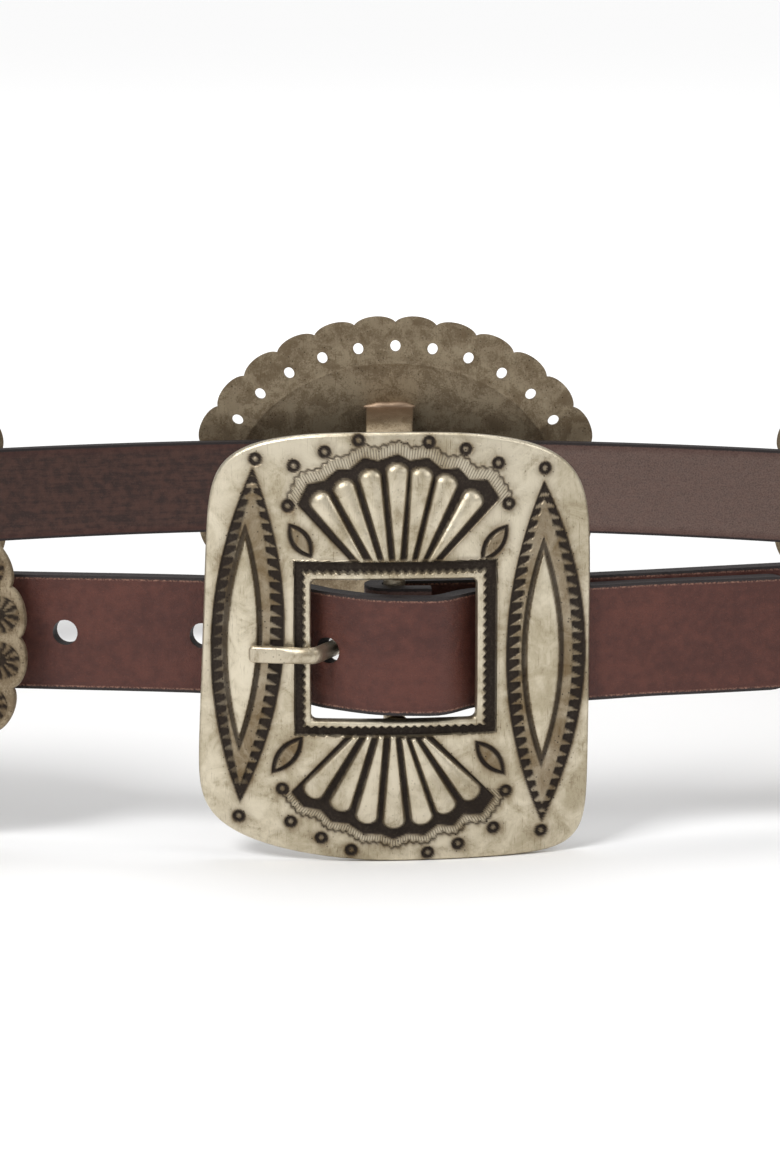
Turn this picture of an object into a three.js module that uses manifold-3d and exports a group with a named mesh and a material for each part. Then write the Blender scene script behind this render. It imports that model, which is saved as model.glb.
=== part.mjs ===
// A concho belt standing on its edge: a leather strap, a stamped buckle and five scalloped conchos.
// Millimetres, +Z up. The buckle faces -Y, and the origin is the bottom centre of the belt's box.

import * as THREE from 'three';
import { mergeVertices } from 'three/addons/utils/BufferGeometryUtils.js';
import Module from 'manifold-3d';

// Sizes of the strap

const STRAP_WIDTH = 21.7;
const STRAP_THICKNESS = 3.2;
const STRAP_BEVEL = 0.5;
const HOLE_DIAMETER = 4.8;
const HOLE_PITCH = 26.1;
const HOLE_COUNT = 3;
const FREE_END = 80;
const FREE_END_STANDOFF = 4.9;
const RIM_RISE = 1.6;
const FREE_END_DROP = 1.1;
const FREE_END_RISE = 0.4;
const TIP_ROUNDING = 9;
const TAB_LENGTH = 7;

// The loop seen from above is an oval of four arcs, given on the strap's middle surface

const FRONT_RADIUS = 374;
const BACK_RADIUS = 263;
const END_RADIUS = 65;
const LOOP_DEPTH = 177.4;
const BUCKLE_OFF_MIDDLE = 5.65;

// Sizes of the buckle

const PLATE_HALF_WIDTH = 36.5;
const PLATE_TOP = 40.3;
const PLATE_BOTTOM = 39.3;
const PLATE_FLARE = 3.5;
const PLATE_THICKNESS = 1.5;
const PLATE_SAG_ACROSS = 7;
const PLATE_SAG_UP = 2.5;
const PLATE_FRONT_OUT = 16;
const OPENING_WIDTH = 30;
const OPENING_HEIGHT = 26;
const OPENING_RISE = 0.9;
const OPENING_CORNER_POWER = 9;
const LIP_WIDTH = 1.8;
const LIP_HEIGHT = 0.9;
const BAR_RADIUS = 2;
const BAR_OUT = 8;
const BAR_ACROSS = 0.5;
const BAR_LEG_OFFSET = 3;

// The buckle's raised ornament

const FLUTES_PER_FAN = 7;
const FLUTE_TIP_PITCH = 5.8;
const FLUTE_TIP_WIDTH = 5.1;
const FLUTE_ROOT_PITCH = 2.26;
const FLUTE_ROOT_WIDTH = 2;
const FLUTE_HEIGHT = 0.9;
const FAN_RISE = 18.5;
const FAN_ROUNDING = 0.55;
const FAN_GAP = 2.6;
const ALMOND_ACROSS = 27.4;
const ALMONDS = [
  { halfLength: 31.3, halfWidth: 6.7, height: 0.4 },
  { halfLength: 20.5, halfWidth: 3.2, height: 1.1 },
];
const ORNAMENT_SINK = 0.4;

// Sizes of the tongue and the rivets

const TONGUE_WIDTH = 3.1;
const TONGUE_THICKNESS = 2.2;
const TONGUE_TIP_ACROSS = -26.2;
const TONGUE_HOLE_ACROSS = -11;
const TONGUE_DROP = 0.5;
const RIVET_SHANK_RADIUS = 1.2;
const RIVET_HEAD_RADIUS = 2.2;
const RIVET_HEAD_THICKNESS = 0.5;
const RIVET_ACROSS = 4;
const RIVET_RISE = 6.5;

// Sizes of a concho

const CONCHO_HALF_WIDTH = 50.2;
const CONCHO_HALF_HEIGHT = 40.3;
const CONCHO_THICKNESS = 1.2;
const CONCHO_STANDOFF = 3.6;
const SCALLOPS = 28;
const SCALLOP_DEPTH = 1.5;
const SCALLOP_CREST = 0.2;
const LEVEL_CRESTS = 0.5;
const BORDER_HOLE_RADIUS = 1.4;
const BORDER_HOLE_INSET = 7.3;
const BORDER_WIDTH = 11.5;
const BORDER_RISE = 0.8;
const DOME_HEIGHT = 7;
const BAIL_WIDTH = 11;
const BAIL_ACROSS = 1.4;
const BAIL_THICKNESS = 1.2;
const BAIL_FOOT = 3;

// Clearances

const GAP = 0.3;
const BAIL_GAP = 0.8;
const TONGUE_GAP = 0.5;
const EDGE_SLACK = 2;

// How the sizes above are shared out

const CORNERS = [
  { side: 1, end: 1, acrossPower: 2.7, upPower: 7.2 },
  { side: -1, end: 1, acrossPower: 3.1, upPower: 9.3 },
  { side: -1, end: -1, acrossPower: 1.65, upPower: 8.4 },
  { side: 1, end: -1, acrossPower: 8, upPower: 10.7 },
];
const CONCHO_PLACES = [
  { name: 'concho_near_left', share: -0.1374 },
  { name: 'concho_far_left', share: -0.3583 },
  { name: 'concho_far', share: -0.5238 },
  { name: 'concho_far_right', share: -0.685 },
  { name: 'concho_near_right', share: 0.1592 },
];
const FLUTE_SECTIONS = [
  { along: 0, width: 0.85, height: 0.15 },
  { along: 0.25, width: 1, height: 0.85 },
  { along: 0.86, width: 1, height: 1 },
  { along: 1, width: 0.45, height: 0.35 },
];
const FLUTE_PROFILE = [
  { across: -0.5, height: 0 },
  { across: -0.2, height: 1 },
  { across: 0.2, height: 1 },
  { across: 0.5, height: 0 },
];
const DOME_RINGS = [0.56];

// Mesh fineness

const COARSE_STEP = 13;
const FINE_STEP = 5;
const FOLD_STEPS = 8;
const PLATE_POINTS = 40;
const PLATE_RINGS = [0, 0.5, 1];
const ROUND_SIDES = 12;
const SHANK_SIDES = 8;
const ALMOND_POINTS = 10;
const CORNER_SPREAD = 2;

// Sizes worked out from the ones above

const halfThickness = STRAP_THICKNESS / 2;
const foldRadius = BAR_RADIUS + GAP + halfThickness;
const attachedOut = BAR_OUT - foldRadius;
const tabOut = BAR_OUT + foldRadius;
const tabFaceOut = tabOut + halfThickness;
const crestOut = tabFaceOut + RIVET_HEAD_THICKNESS + 3 * GAP + halfThickness;
const openingHalf = OPENING_WIDTH / 2;

const manifoldLibrary = await Module();
manifoldLibrary.setup();

// Solids and meshes

function solidOf(geometry) {
  const bare = geometry.clone();
  bare.deleteAttribute('normal');
  bare.deleteAttribute('uv');
  const merged = mergeVertices(bare, 1e-4);
  return new manifoldLibrary.Manifold(new manifoldLibrary.Mesh({
    numProp: 3,
    vertProperties: new Float32Array(merged.attributes.position.array),
    triVerts: new Uint32Array(merged.index.array),
  }));
}

function geometryOf(solid) {
  const mesh = solid.getMesh();
  const geometry = new THREE.BufferGeometry();
  geometry.setAttribute('position', new THREE.BufferAttribute(new Float32Array(mesh.vertProperties), 3));
  geometry.setIndex(new THREE.BufferAttribute(new Uint32Array(mesh.triVerts), 1));
  geometry.computeVertexNormals();
  return geometry;
}

function joined(geometries) {
  return geometries.map(solidOf).reduce((whole, solid) => whole.add(solid));
}

class Surface {
  constructor() {
    this.points = [];
    this.faces = [];
  }

  loop(points) {
    return points.map((point) => this.points.push(point) - 1);
  }

  bridge(inner, outer) {
    for (let i = 0; i < inner.length; i += 1) {
      const j = (i + 1) % inner.length;
      if (outer[i] !== outer[j]) this.faces.push([inner[i], outer[i], outer[j]]);
      this.faces.push([inner[i], outer[j], inner[j]]);
    }
  }

  fan(centre, loop) {
    loop.forEach((index, i) => this.faces.push([centre, index, loop[(i + 1) % loop.length]]));
  }

  cap(loop) {
    for (let i = 1; i < loop.length - 1; i += 1) {
      this.faces.push([loop[0], loop[i], loop[i + 1]]);
    }
  }

  geometry() {
    const geometry = new THREE.BufferGeometry().setFromPoints(this.points);
    let faces = this.faces;
    const corners = (face) => face.map((index) => this.points[index]);
    const volume = faces.reduce((sum, face) => {
      const [a, b, c] = corners(face);
      return sum + a.dot(new THREE.Vector3().crossVectors(b, c));
    }, 0);
    if (volume < 0) {
      faces = faces.map(([a, b, c]) => [a, c, b]);
    }
    geometry.setIndex(faces.flat());
    return geometry;
  }
}

// A smooth curve through stations given by named columns, without overshoot

function smoothThrough(stations, at, column = 'out') {
  const last = stations.length - 1;
  const value = (i) => stations[i][column];
  if (at <= stations[0].along) return value(0);
  if (at >= stations[last].along) return value(last);
  const slope = (i) => (value(i + 1) - value(i)) / (stations[i + 1].along - stations[i].along);
  const tangent = (i) => {
    if (i === 0 || i === last) return 0;
    const before = slope(i - 1);
    const after = slope(i);
    return before * after <= 0 ? 0 : (2 * before * after) / (before + after);
  };
  const i = stations.findIndex((station, k) => k < last && at < stations[k + 1].along);
  const span = stations[i + 1].along - stations[i].along;
  const t = (at - stations[i].along) / span;
  const rise = value(i + 1) - value(i);
  return value(i) + (3 * rise - span * (2 * tangent(i) + tangent(i + 1))) * t * t
    + span * tangent(i) * t + (span * (tangent(i) + tangent(i + 1)) - 2 * rise) * t * t * t;
}

// Outlines of the plate and of a concho, from which the heights above the floor follow

const roundTurns = (count) => Array.from({ length: count }, (_, i) => (2 * Math.PI * (i + 0.5)) / count);
const spread = (value) => Math.sign(value) * Math.abs(value) ** CORNER_SPREAD;
const cornerTurns = (count) => roundTurns(count).map((turn) => (
  Math.atan2(spread(Math.sin(turn)), spread(Math.cos(turn)))
));

function plateOutline(turn) {
  const cos = Math.cos(turn);
  const sin = Math.sin(turn);
  const corner = CORNERS.find(({ side, end }) => side * cos >= 0 && end * sin >= 0);
  const height = sin > 0 ? PLATE_TOP : PLATE_BOTTOM;
  const up = Math.sign(sin) * height * Math.abs(sin) ** (2 / corner.upPower);
  const flare = cos < 0 ? PLATE_FLARE * (0.5 + up / height / 2) : 0;
  return { across: Math.sign(cos) * (PLATE_HALF_WIDTH - flare) * Math.abs(cos) ** (2 / corner.acrossPower), up };
}

function ellipseByLength(halfWidth, halfHeight) {
  const fine = 720;
  const lengths = [0];
  const at = (turn) => new THREE.Vector2(halfWidth * Math.sin(turn), -halfHeight * Math.cos(turn));
  for (let i = 1; i <= fine; i += 1) {
    const step = at((2 * Math.PI * i) / fine).distanceTo(at((2 * Math.PI * (i - 1)) / fine));
    lengths.push(lengths[i - 1] + step);
  }
  return (share) => {
    const wanted = (((share % 1) + 1) % 1) * lengths[fine];
    const i = Math.max(lengths.findIndex((length) => length >= wanted), 1);
    const part = (wanted - lengths[i - 1]) / (lengths[i] - lengths[i - 1]);
    const turn = (2 * Math.PI * (i - 1 + part)) / fine;
    const normal = new THREE.Vector2(halfHeight * Math.sin(turn), -halfWidth * Math.cos(turn)).normalize();
    return { point: at(turn), normal };
  };
}

const conchoEdge = ellipseByLength(CONCHO_HALF_WIDTH, CONCHO_HALF_HEIGHT);

function borderPoint(share, inset) {
  const { point, normal } = conchoEdge(share);
  return point.clone().addScaledVector(normal, -inset);
}

const plateCentreZ = -Math.min(...cornerTurns(PLATE_POINTS).map((turn) => plateOutline(turn).up));
const strapCentreZ = -borderPoint((0.5 - SCALLOP_CREST) / SCALLOPS, 0).y;

// The ends of the scallops' crests; the lowest crests are level, so that a concho stands flat on them

function crestEnd(place) {
  const end = borderPoint(place / SCALLOPS, 0);
  if (end.y < LEVEL_CRESTS - strapCentreZ) end.y = -strapCentreZ;
  return end;
}

const tongueZ = strapCentreZ - TONGUE_DROP;

// The oval loop: lengths are measured along it to the right from the middle of the front

function makeLoop() {
  const frontY = -LOOP_DEPTH / 2 + FRONT_RADIUS;
  const backY = LOOP_DEPTH / 2 - BACK_RADIUS;
  const a = FRONT_RADIUS - END_RADIUS;
  const b = BACK_RADIUS - END_RADIUS;
  const endY = (b * b - a * a + frontY * frontY - backY * backY) / (2 * (frontY - backY));
  const endX = Math.sqrt(a * a - (frontY - endY) ** 2);
  const frontTurn = Math.atan2(endX, frontY - endY);
  const backTurn = Math.atan2(endX, endY - backY);
  const quarter = Math.PI / 2;
  const arcs = [
    { x: 0, y: frontY, radius: FRONT_RADIUS, from: -quarter, turn: frontTurn },
    { x: endX, y: endY, radius: END_RADIUS, from: -quarter + frontTurn, turn: Math.PI - frontTurn - backTurn },
    { x: 0, y: backY, radius: BACK_RADIUS, from: quarter - backTurn, turn: 2 * backTurn },
    { x: -endX, y: endY, radius: END_RADIUS, from: quarter + backTurn, turn: Math.PI - frontTurn - backTurn },
    { x: 0, y: frontY, radius: FRONT_RADIUS, from: -quarter - frontTurn, turn: frontTurn },
  ];
  const length = arcs.reduce((sum, arc) => sum + arc.radius * arc.turn, 0);
  const frameAt = (along) => {
    let left = ((along % length) + length) % length;
    let arc = arcs[0];
    for (arc of arcs) {
      if (left <= arc.radius * arc.turn) break;
      left -= arc.radius * arc.turn;
    }
    const angle = arc.from + left / arc.radius;
    const outward = new THREE.Vector3(Math.cos(angle), Math.sin(angle), 0);
    const point = new THREE.Vector3(arc.x, arc.y, 0).addScaledVector(outward, arc.radius);
    return { point, outward, across: new THREE.Vector3(-outward.y, outward.x, 0) };
  };
  return { length, frameAt };
}

const loop = makeLoop();
const buckleFrame = loop.frameAt(BUCKLE_OFF_MIDDLE);

function atFrame(frame, across, out, z) {
  return frame.point.clone()
    .addScaledVector(frame.across, across)
    .addScaledVector(frame.outward, out)
    .setZ(z);
}

// A group whose X runs across, whose Z is up and whose -Y faces outward at a place on the loop

function groupAt(frame, z) {
  const group = new THREE.Group();
  group.position.copy(frame.point).setZ(z);
  group.rotation.z = Math.atan2(frame.across.y, frame.across.x);
  return group;
}

// The strap's way: how far its middle surface stands outside the loop near the buckle

const plateSag = (across, up) => PLATE_SAG_ACROSS * (across / PLATE_HALF_WIDTH) ** 2
  + PLATE_SAG_UP * (up / PLATE_TOP) ** 2;
const plateFrontOut = (across, up) => PLATE_FRONT_OUT - plateSag(across, up);
const loopFall = (across) => across ** 2 / (2 * FRONT_RADIUS);
const underPlateOut = (across) => plateFrontOut(across, STRAP_WIDTH / 2) - PLATE_THICKNESS - GAP
  - halfThickness + loopFall(across);

const reach = PLATE_HALF_WIDTH * 2.1;
const openingEdge = openingHalf + LIP_WIDTH / 2;
const leavingRim = Math.min(FREE_END_STANDOFF + RIM_RISE, underPlateOut(PLATE_HALF_WIDTH) - GAP);
const FREE_WAY = [
  { along: -reach, out: 0 },
  { along: -PLATE_HALF_WIDTH, out: 2.7 },
  { along: -openingEdge, out: underPlateOut(openingHalf) * 0.62 },
  { along: TONGUE_HOLE_ACROSS, out: underPlateOut(openingHalf) },
  { along: 0, out: crestOut },
  { along: RIVET_ACROSS + RIVET_HEAD_RADIUS, out: crestOut },
  { along: openingHalf, out: underPlateOut(openingEdge) - EDGE_SLACK },
  { along: PLATE_HALF_WIDTH, out: leavingRim },
  { along: PLATE_HALF_WIDTH * 1.4, out: FREE_END_STANDOFF },
];
const FREE_DROP = [
  { along: -reach, drop: 0 },
  { along: -PLATE_HALF_WIDTH, drop: -FREE_END_RISE },
  { along: TONGUE_HOLE_ACROSS, drop: TONGUE_DROP },
  { along: openingEdge, drop: FREE_END_DROP },
];
const ATTACHED_WAY = [
  { along: RIVET_ACROSS + RIVET_HEAD_RADIUS, out: attachedOut },
  { along: reach, out: 0 },
];

function strapStations() {
  const half = STRAP_WIDTH / 2;
  const stations = [];
  const place = (frame, across, out, drop = 0, share = 1) => {
    stations.push({ point: atFrame(frame, across, out, strapCentreZ - drop), half: half * share });
  };
  place(buckleFrame, TAB_LENGTH, tabOut);
  place(buckleFrame, RIVET_ACROSS, tabOut);
  for (let i = 0; i <= FOLD_STEPS; i += 1) {
    const angle = Math.PI / 2 + (Math.PI * i) / FOLD_STEPS;
    place(buckleFrame, BAR_ACROSS + foldRadius * Math.cos(angle), BAR_OUT + foldRadius * Math.sin(angle));
  }
  const along = (distance, out, drop, share) => {
    place(loop.frameAt(BUCKLE_OFF_MIDDLE + distance), 0, out, drop, share);
  };
  const steps = (from, to, size, visit) => {
    const count = Math.round((to - from) / size);
    for (let i = 0; i < count; i += 1) visit(from + ((to - from) * i) / count);
  };
  steps(RIVET_ACROSS, reach, FINE_STEP * 1.5, (at) => along(at, smoothThrough(ATTACHED_WAY, at)));
  steps(reach, loop.length - reach, COARSE_STEP, (at) => along(at, 0));
  const free = (at, share) => {
    along(at + loop.length, smoothThrough(FREE_WAY, at), smoothThrough(FREE_DROP, at, 'drop'), share);
  };
  steps(-reach, FREE_END - TIP_ROUNDING, FINE_STEP, (at) => free(at));
  for (const turn of [0, 0.35, 0.6, 0.8, 0.93, 0.99]) {
    free(FREE_END - TIP_ROUNDING * (1 - turn), Math.sqrt(1 - turn ** 2));
  }
  return stations;
}

function strapFrames() {
  const stations = strapStations();
  let length = 0;
  return stations.map((station, i) => {
    const before = stations[Math.max(i - 1, 0)].point;
    const after = stations[Math.min(i + 1, stations.length - 1)].point;
    const along = new THREE.Vector3().subVectors(after, before).setZ(0).normalize();
    length += i > 0 ? station.point.distanceTo(before) : 0;
    return { ...station, length, along, outward: new THREE.Vector3(along.y, -along.x, 0) };
  });
}

function strapSection({ point, half, outward }) {
  const bevel = Math.min(STRAP_BEVEL, half / 2);
  const corners = [
    [halfThickness, half - bevel], [halfThickness - STRAP_BEVEL, half],
    [STRAP_BEVEL - halfThickness, half], [-halfThickness, half - bevel],
  ];
  const round = [...corners, ...corners.map(([out, up]) => [-out, -up])];
  return round.map(([out, up]) => point.clone().addScaledVector(outward, out)
    .add(new THREE.Vector3(0, 0, up)));
}

function cutter(radius, length, frame, sides) {
  const geometry = new THREE.CylinderGeometry(radius, radius, length, sides);
  geometry.applyQuaternion(new THREE.Quaternion()
    .setFromUnitVectors(new THREE.Vector3(0, 1, 0), frame.outward));
  geometry.translate(frame.point.x, frame.point.y, frame.point.z);
  return solidOf(geometry);
}

function frameOnStrap(frames, length) {
  const i = frames.findIndex((frame) => frame.length >= length);
  const [a, b] = [frames[i - 1], frames[i]];
  const t = (length - a.length) / (b.length - a.length);
  return {
    point: a.point.clone().lerp(b.point, t),
    outward: a.outward.clone().lerp(b.outward, t).normalize(),
  };
}

function makeStrap() {
  const frames = strapFrames();
  const surface = new Surface();
  const loops = frames.map((frame) => surface.loop(strapSection(frame)));
  for (let i = 1; i < loops.length; i += 1) surface.bridge(loops[i - 1], loops[i]);
  surface.cap(loops[0]);
  surface.cap([...loops[loops.length - 1]].reverse());
  let solid = solidOf(surface.geometry());

  const cutLength = 3 * STRAP_THICKNESS;
  const acrossOf = ({ point }) => new THREE.Vector3().subVectors(point, buckleFrame.point).dot(buckleFrame.across);
  const before = frames.findLastIndex((frame) => acrossOf(frame) < TONGUE_HOLE_ACROSS);
  const [left, right] = [frames[before], frames[before + 1]];
  const share = (TONGUE_HOLE_ACROSS - acrossOf(left)) / (acrossOf(right) - acrossOf(left));
  const holeInUse = THREE.MathUtils.lerp(left.length, right.length, share);
  for (let i = 0; i < HOLE_COUNT; i += 1) {
    const frame = frameOnStrap(frames, holeInUse - i * HOLE_PITCH);
    solid = solid.subtract(cutter(HOLE_DIAMETER / 2, cutLength, frame, ROUND_SIDES));
  }

  const eyeReach = BAR_RADIUS + GAP + TONGUE_THICKNESS + GAP;
  const slotLeft = foldRadius + halfThickness + GAP;
  const slotDepth = 2 * (foldRadius + halfThickness) + 2 * GAP;
  const slot = new THREE.BoxGeometry(slotLeft + eyeReach, slotDepth, TONGUE_WIDTH + 2 * GAP);
  slot.translate(BAR_ACROSS + (eyeReach - slotLeft) / 2, -BAR_OUT, 0);
  const slotGroup = groupAt(buckleFrame, tongueZ);
  slotGroup.updateMatrixWorld();
  solid = solid.subtract(solidOf(slot.applyMatrix4(slotGroup.matrixWorld)));

  for (const rise of [RIVET_RISE, -RIVET_RISE]) {
    const frame = {
      point: atFrame(buckleFrame, RIVET_ACROSS, BAR_OUT, strapCentreZ + rise),
      outward: buckleFrame.outward,
    };
    solid = solid.subtract(cutter(RIVET_SHANK_RADIUS + GAP, slotDepth, frame, SHANK_SIDES));
  }
  return geometryOf(solid);
}

// The buckle's plate, in its own frame: X across, Z up from the plate's centre, -Y outward

const onPlate = (across, up, height) => new THREE.Vector3(across, -(plateFrontOut(across, up) + height), up);

function openingOutline(turn, grow) {
  const cos = Math.cos(turn);
  const sin = Math.sin(turn);
  const power = 2 / OPENING_CORNER_POWER;
  return {
    across: Math.sign(cos) * (openingHalf + grow) * Math.abs(cos) ** power,
    up: OPENING_RISE + Math.sign(sin) * (OPENING_HEIGHT / 2 + grow) * Math.abs(sin) ** power,
  };
}

function makePlate() {
  const surface = new Surface();
  const ring = (share, height) => surface.loop(cornerTurns(PLATE_POINTS).map((turn) => {
    const inner = openingOutline(turn, 0);
    const outer = plateOutline(turn);
    const across = THREE.MathUtils.lerp(inner.across, outer.across, share);
    return onPlate(across, THREE.MathUtils.lerp(inner.up, outer.up, share), height);
  }));
  const front = PLATE_RINGS.map((share) => ring(share, 0));
  const back = [...PLATE_RINGS].reverse().map((share) => ring(share, -PLATE_THICKNESS));
  const around = [...front, ...back];
  around.forEach((from, i) => surface.bridge(from, around[(i + 1) % around.length]));
  return surface.geometry();
}

function makeLip() {
  const surface = new Surface();
  const ring = (grow, height) => surface.loop(cornerTurns(PLATE_POINTS).map((turn) => {
    const { across, up } = openingOutline(turn, grow);
    return onPlate(across, up, height);
  }));
  const profile = [ring(GAP / 3, -ORNAMENT_SINK), ring(GAP, LIP_HEIGHT), ring(LIP_WIDTH, -ORNAMENT_SINK)];
  profile.forEach((from, i) => surface.bridge(from, profile[(i + 1) % profile.length]));
  return surface.geometry();
}

// One flute of a fan: a rounded ridge that widens from its root by the opening to its tip

function makeFlute(index, end) {
  const rootUp = OPENING_HEIGHT / 2 + FAN_GAP;
  const root = new THREE.Vector2(index * FLUTE_ROOT_PITCH, rootUp);
  const tip = new THREE.Vector2(index * FLUTE_TIP_PITCH, rootUp + FAN_RISE - FAN_ROUNDING * index ** 2);
  const direction = tip.clone().sub(root).normalize();
  const surface = new Surface();
  const sections = FLUTE_SECTIONS.map((section) => {
    const middle = root.clone().lerp(tip, section.along);
    const width = THREE.MathUtils.lerp(FLUTE_ROOT_WIDTH, FLUTE_TIP_WIDTH, section.along) * section.width;
    return surface.loop(FLUTE_PROFILE.map(({ across, height }) => onPlate(
      middle.x + direction.y * across * width,
      OPENING_RISE + end * (middle.y - direction.x * across * width),
      height * section.height * FLUTE_HEIGHT - (1 - height) * ORNAMENT_SINK,
    )));
  });
  for (let i = 1; i < sections.length; i += 1) surface.bridge(sections[i - 1], sections[i]);
  surface.cap(sections[0]);
  surface.cap([...sections[sections.length - 1]].reverse());
  return surface.geometry();
}

// A raised almond: two pointed ends up and down, highest along its middle

function makeAlmond(side, { halfLength, halfWidth, height }) {
  const surface = new Surface();
  const ring = (share, level) => surface.loop(roundTurns(ALMOND_POINTS).map((turn) => {
    const up = Math.sin(turn);
    const across = Math.sign(Math.cos(turn)) * (1 - up ** 2) * share;
    return onPlate(side * ALMOND_ACROSS + across * halfWidth, up * halfLength * share, level);
  }));
  const base = ring(1, -ORNAMENT_SINK);
  const shoulder = ring(0.9, height * 0.7);
  const crest = ring(0.35, height);
  surface.bridge(base, shoulder);
  surface.bridge(shoulder, crest);
  surface.cap(base);
  surface.cap([...crest].reverse());
  return surface.geometry();
}

function makeBuckle() {
  const ends = [1, -1];
  const half = (FLUTES_PER_FAN - 1) / 2;
  const ornament = [makeLip()];
  for (const end of ends) {
    for (let index = -half; index <= half; index += 1) ornament.push(makeFlute(index, end));
    for (const almond of ALMONDS) ornament.push(makeAlmond(end, almond));
  }
  const legUp = OPENING_HEIGHT / 2 + BAR_LEG_OFFSET;
  const bar = new THREE.CylinderGeometry(BAR_RADIUS, BAR_RADIUS, 2 * (legUp + BAR_RADIUS), ROUND_SIDES)
    .rotateX(Math.PI / 2).translate(BAR_ACROSS, -BAR_OUT, OPENING_RISE);
  const legs = ends.map((end) => {
    const up = OPENING_RISE + end * legUp;
    const reachOut = plateFrontOut(BAR_ACROSS, up) - PLATE_THICKNESS / 2 - BAR_OUT;
    return new THREE.CylinderGeometry(BAR_RADIUS, BAR_RADIUS, reachOut, ROUND_SIDES)
      .translate(BAR_ACROSS, -(BAR_OUT + reachOut / 2), up);
  });
  return geometryOf(joined([makePlate(), ...ornament, bar, ...legs]));
}

// The tongue: an eye round the bar and a shank that comes through the hole and lies on the plate

function makeTongue() {
  const eyeInner = BAR_RADIUS + GAP;
  const halfWidth = TONGUE_WIDTH / 2;
  const eye = new THREE.LatheGeometry([
    new THREE.Vector2(eyeInner, -halfWidth), new THREE.Vector2(eyeInner + TONGUE_THICKNESS, -halfWidth),
    new THREE.Vector2(eyeInner + TONGUE_THICKNESS, halfWidth), new THREE.Vector2(eyeInner, halfWidth),
    new THREE.Vector2(eyeInner, -halfWidth),
  ], ROUND_SIDES + 4).rotateX(Math.PI / 2).translate(BAR_ACROSS, -BAR_OUT, 0);

  const lie = LIP_HEIGHT + TONGUE_GAP + TONGUE_THICKNESS / 2;
  const lipAcross = -openingEdge;
  const eyeLeft = BAR_ACROSS - eyeInner - TONGUE_THICKNESS / 2;
  const strapOut = (across) => smoothThrough(FREE_WAY, across) - loopFall(across);
  const hole = new THREE.Vector2(TONGUE_HOLE_ACROSS, strapOut(TONGUE_HOLE_ACROSS));
  const through = new THREE.Vector2(strapOut(hole.x - 1) - strapOut(hole.x + 1), 2)
    .setLength(halfThickness + TONGUE_THICKNESS / 2);
  const lipOut = plateFrontOut(lipAcross, 0) + lie;
  const tipRest = ALMONDS[ALMONDS.length - 1].height + TONGUE_GAP + TONGUE_THICKNESS / 2;
  const tipOut = Math.max(plateFrontOut(TONGUE_TIP_ACROSS, 0) + tipRest, lipOut - TONGUE_THICKNESS);
  const way = [
    [eyeLeft, BAR_OUT], [eyeLeft - TONGUE_THICKNESS, BAR_OUT - GAP],
    hole.clone().sub(through).toArray(), hole.toArray(), hole.clone().add(through).toArray(),
    [(hole.x + through.x + lipAcross) / 2, lipOut - GAP], [lipAcross, lipOut + GAP],
    [(lipAcross + TONGUE_TIP_ACROSS) / 2, (lipOut + tipOut) / 2 + GAP], [TONGUE_TIP_ACROSS, tipOut],
  ];
  const curve = new THREE.CatmullRomCurve3(way.map(([across, out]) => new THREE.Vector3(across, -out, 0)));
  const section = new THREE.Shape();
  section.absellipse(0, 0, TONGUE_THICKNESS / 2, halfWidth, 0, 2 * Math.PI);
  const ring = section.getPoints(SHANK_SIDES / 2).slice(0, -1);
  const surface = new Surface();
  const loops = curve.getSpacedPoints(way.length + 4).map((point, i, all) => {
    const along = new THREE.Vector3().subVectors(all[Math.min(i + 1, all.length - 1)], all[Math.max(i - 1, 0)])
      .normalize();
    const out = new THREE.Vector3(-along.y, along.x, 0);
    return surface.loop(ring.map(({ x, y }) => point.clone().addScaledVector(out, x).setZ(y)));
  });
  for (let i = 1; i < loops.length; i += 1) surface.bridge(loops[i - 1], loops[i]);
  surface.cap(loops[0]);
  surface.cap([...loops[loops.length - 1]].reverse());
  return geometryOf(joined([eye, surface.geometry()]));
}

// A plain rivet through the folded tab and the strap behind it

function makeRivet() {
  const half = foldRadius + halfThickness + GAP;
  const profile = [
    [0, -half - RIVET_HEAD_THICKNESS], [RIVET_HEAD_RADIUS, -half - RIVET_HEAD_THICKNESS],
    [RIVET_HEAD_RADIUS, -half], [RIVET_SHANK_RADIUS, -half], [RIVET_SHANK_RADIUS, half],
    [RIVET_HEAD_RADIUS, half], [RIVET_HEAD_RADIUS, half + RIVET_HEAD_THICKNESS],
    [0, half + RIVET_HEAD_THICKNESS],
  ].map(([radius, along]) => new THREE.Vector2(radius, along));
  return new THREE.LatheGeometry(profile, SHANK_SIDES);
}

// A concho, in its own frame: X across, Z up from its centre, -Y outward

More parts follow.
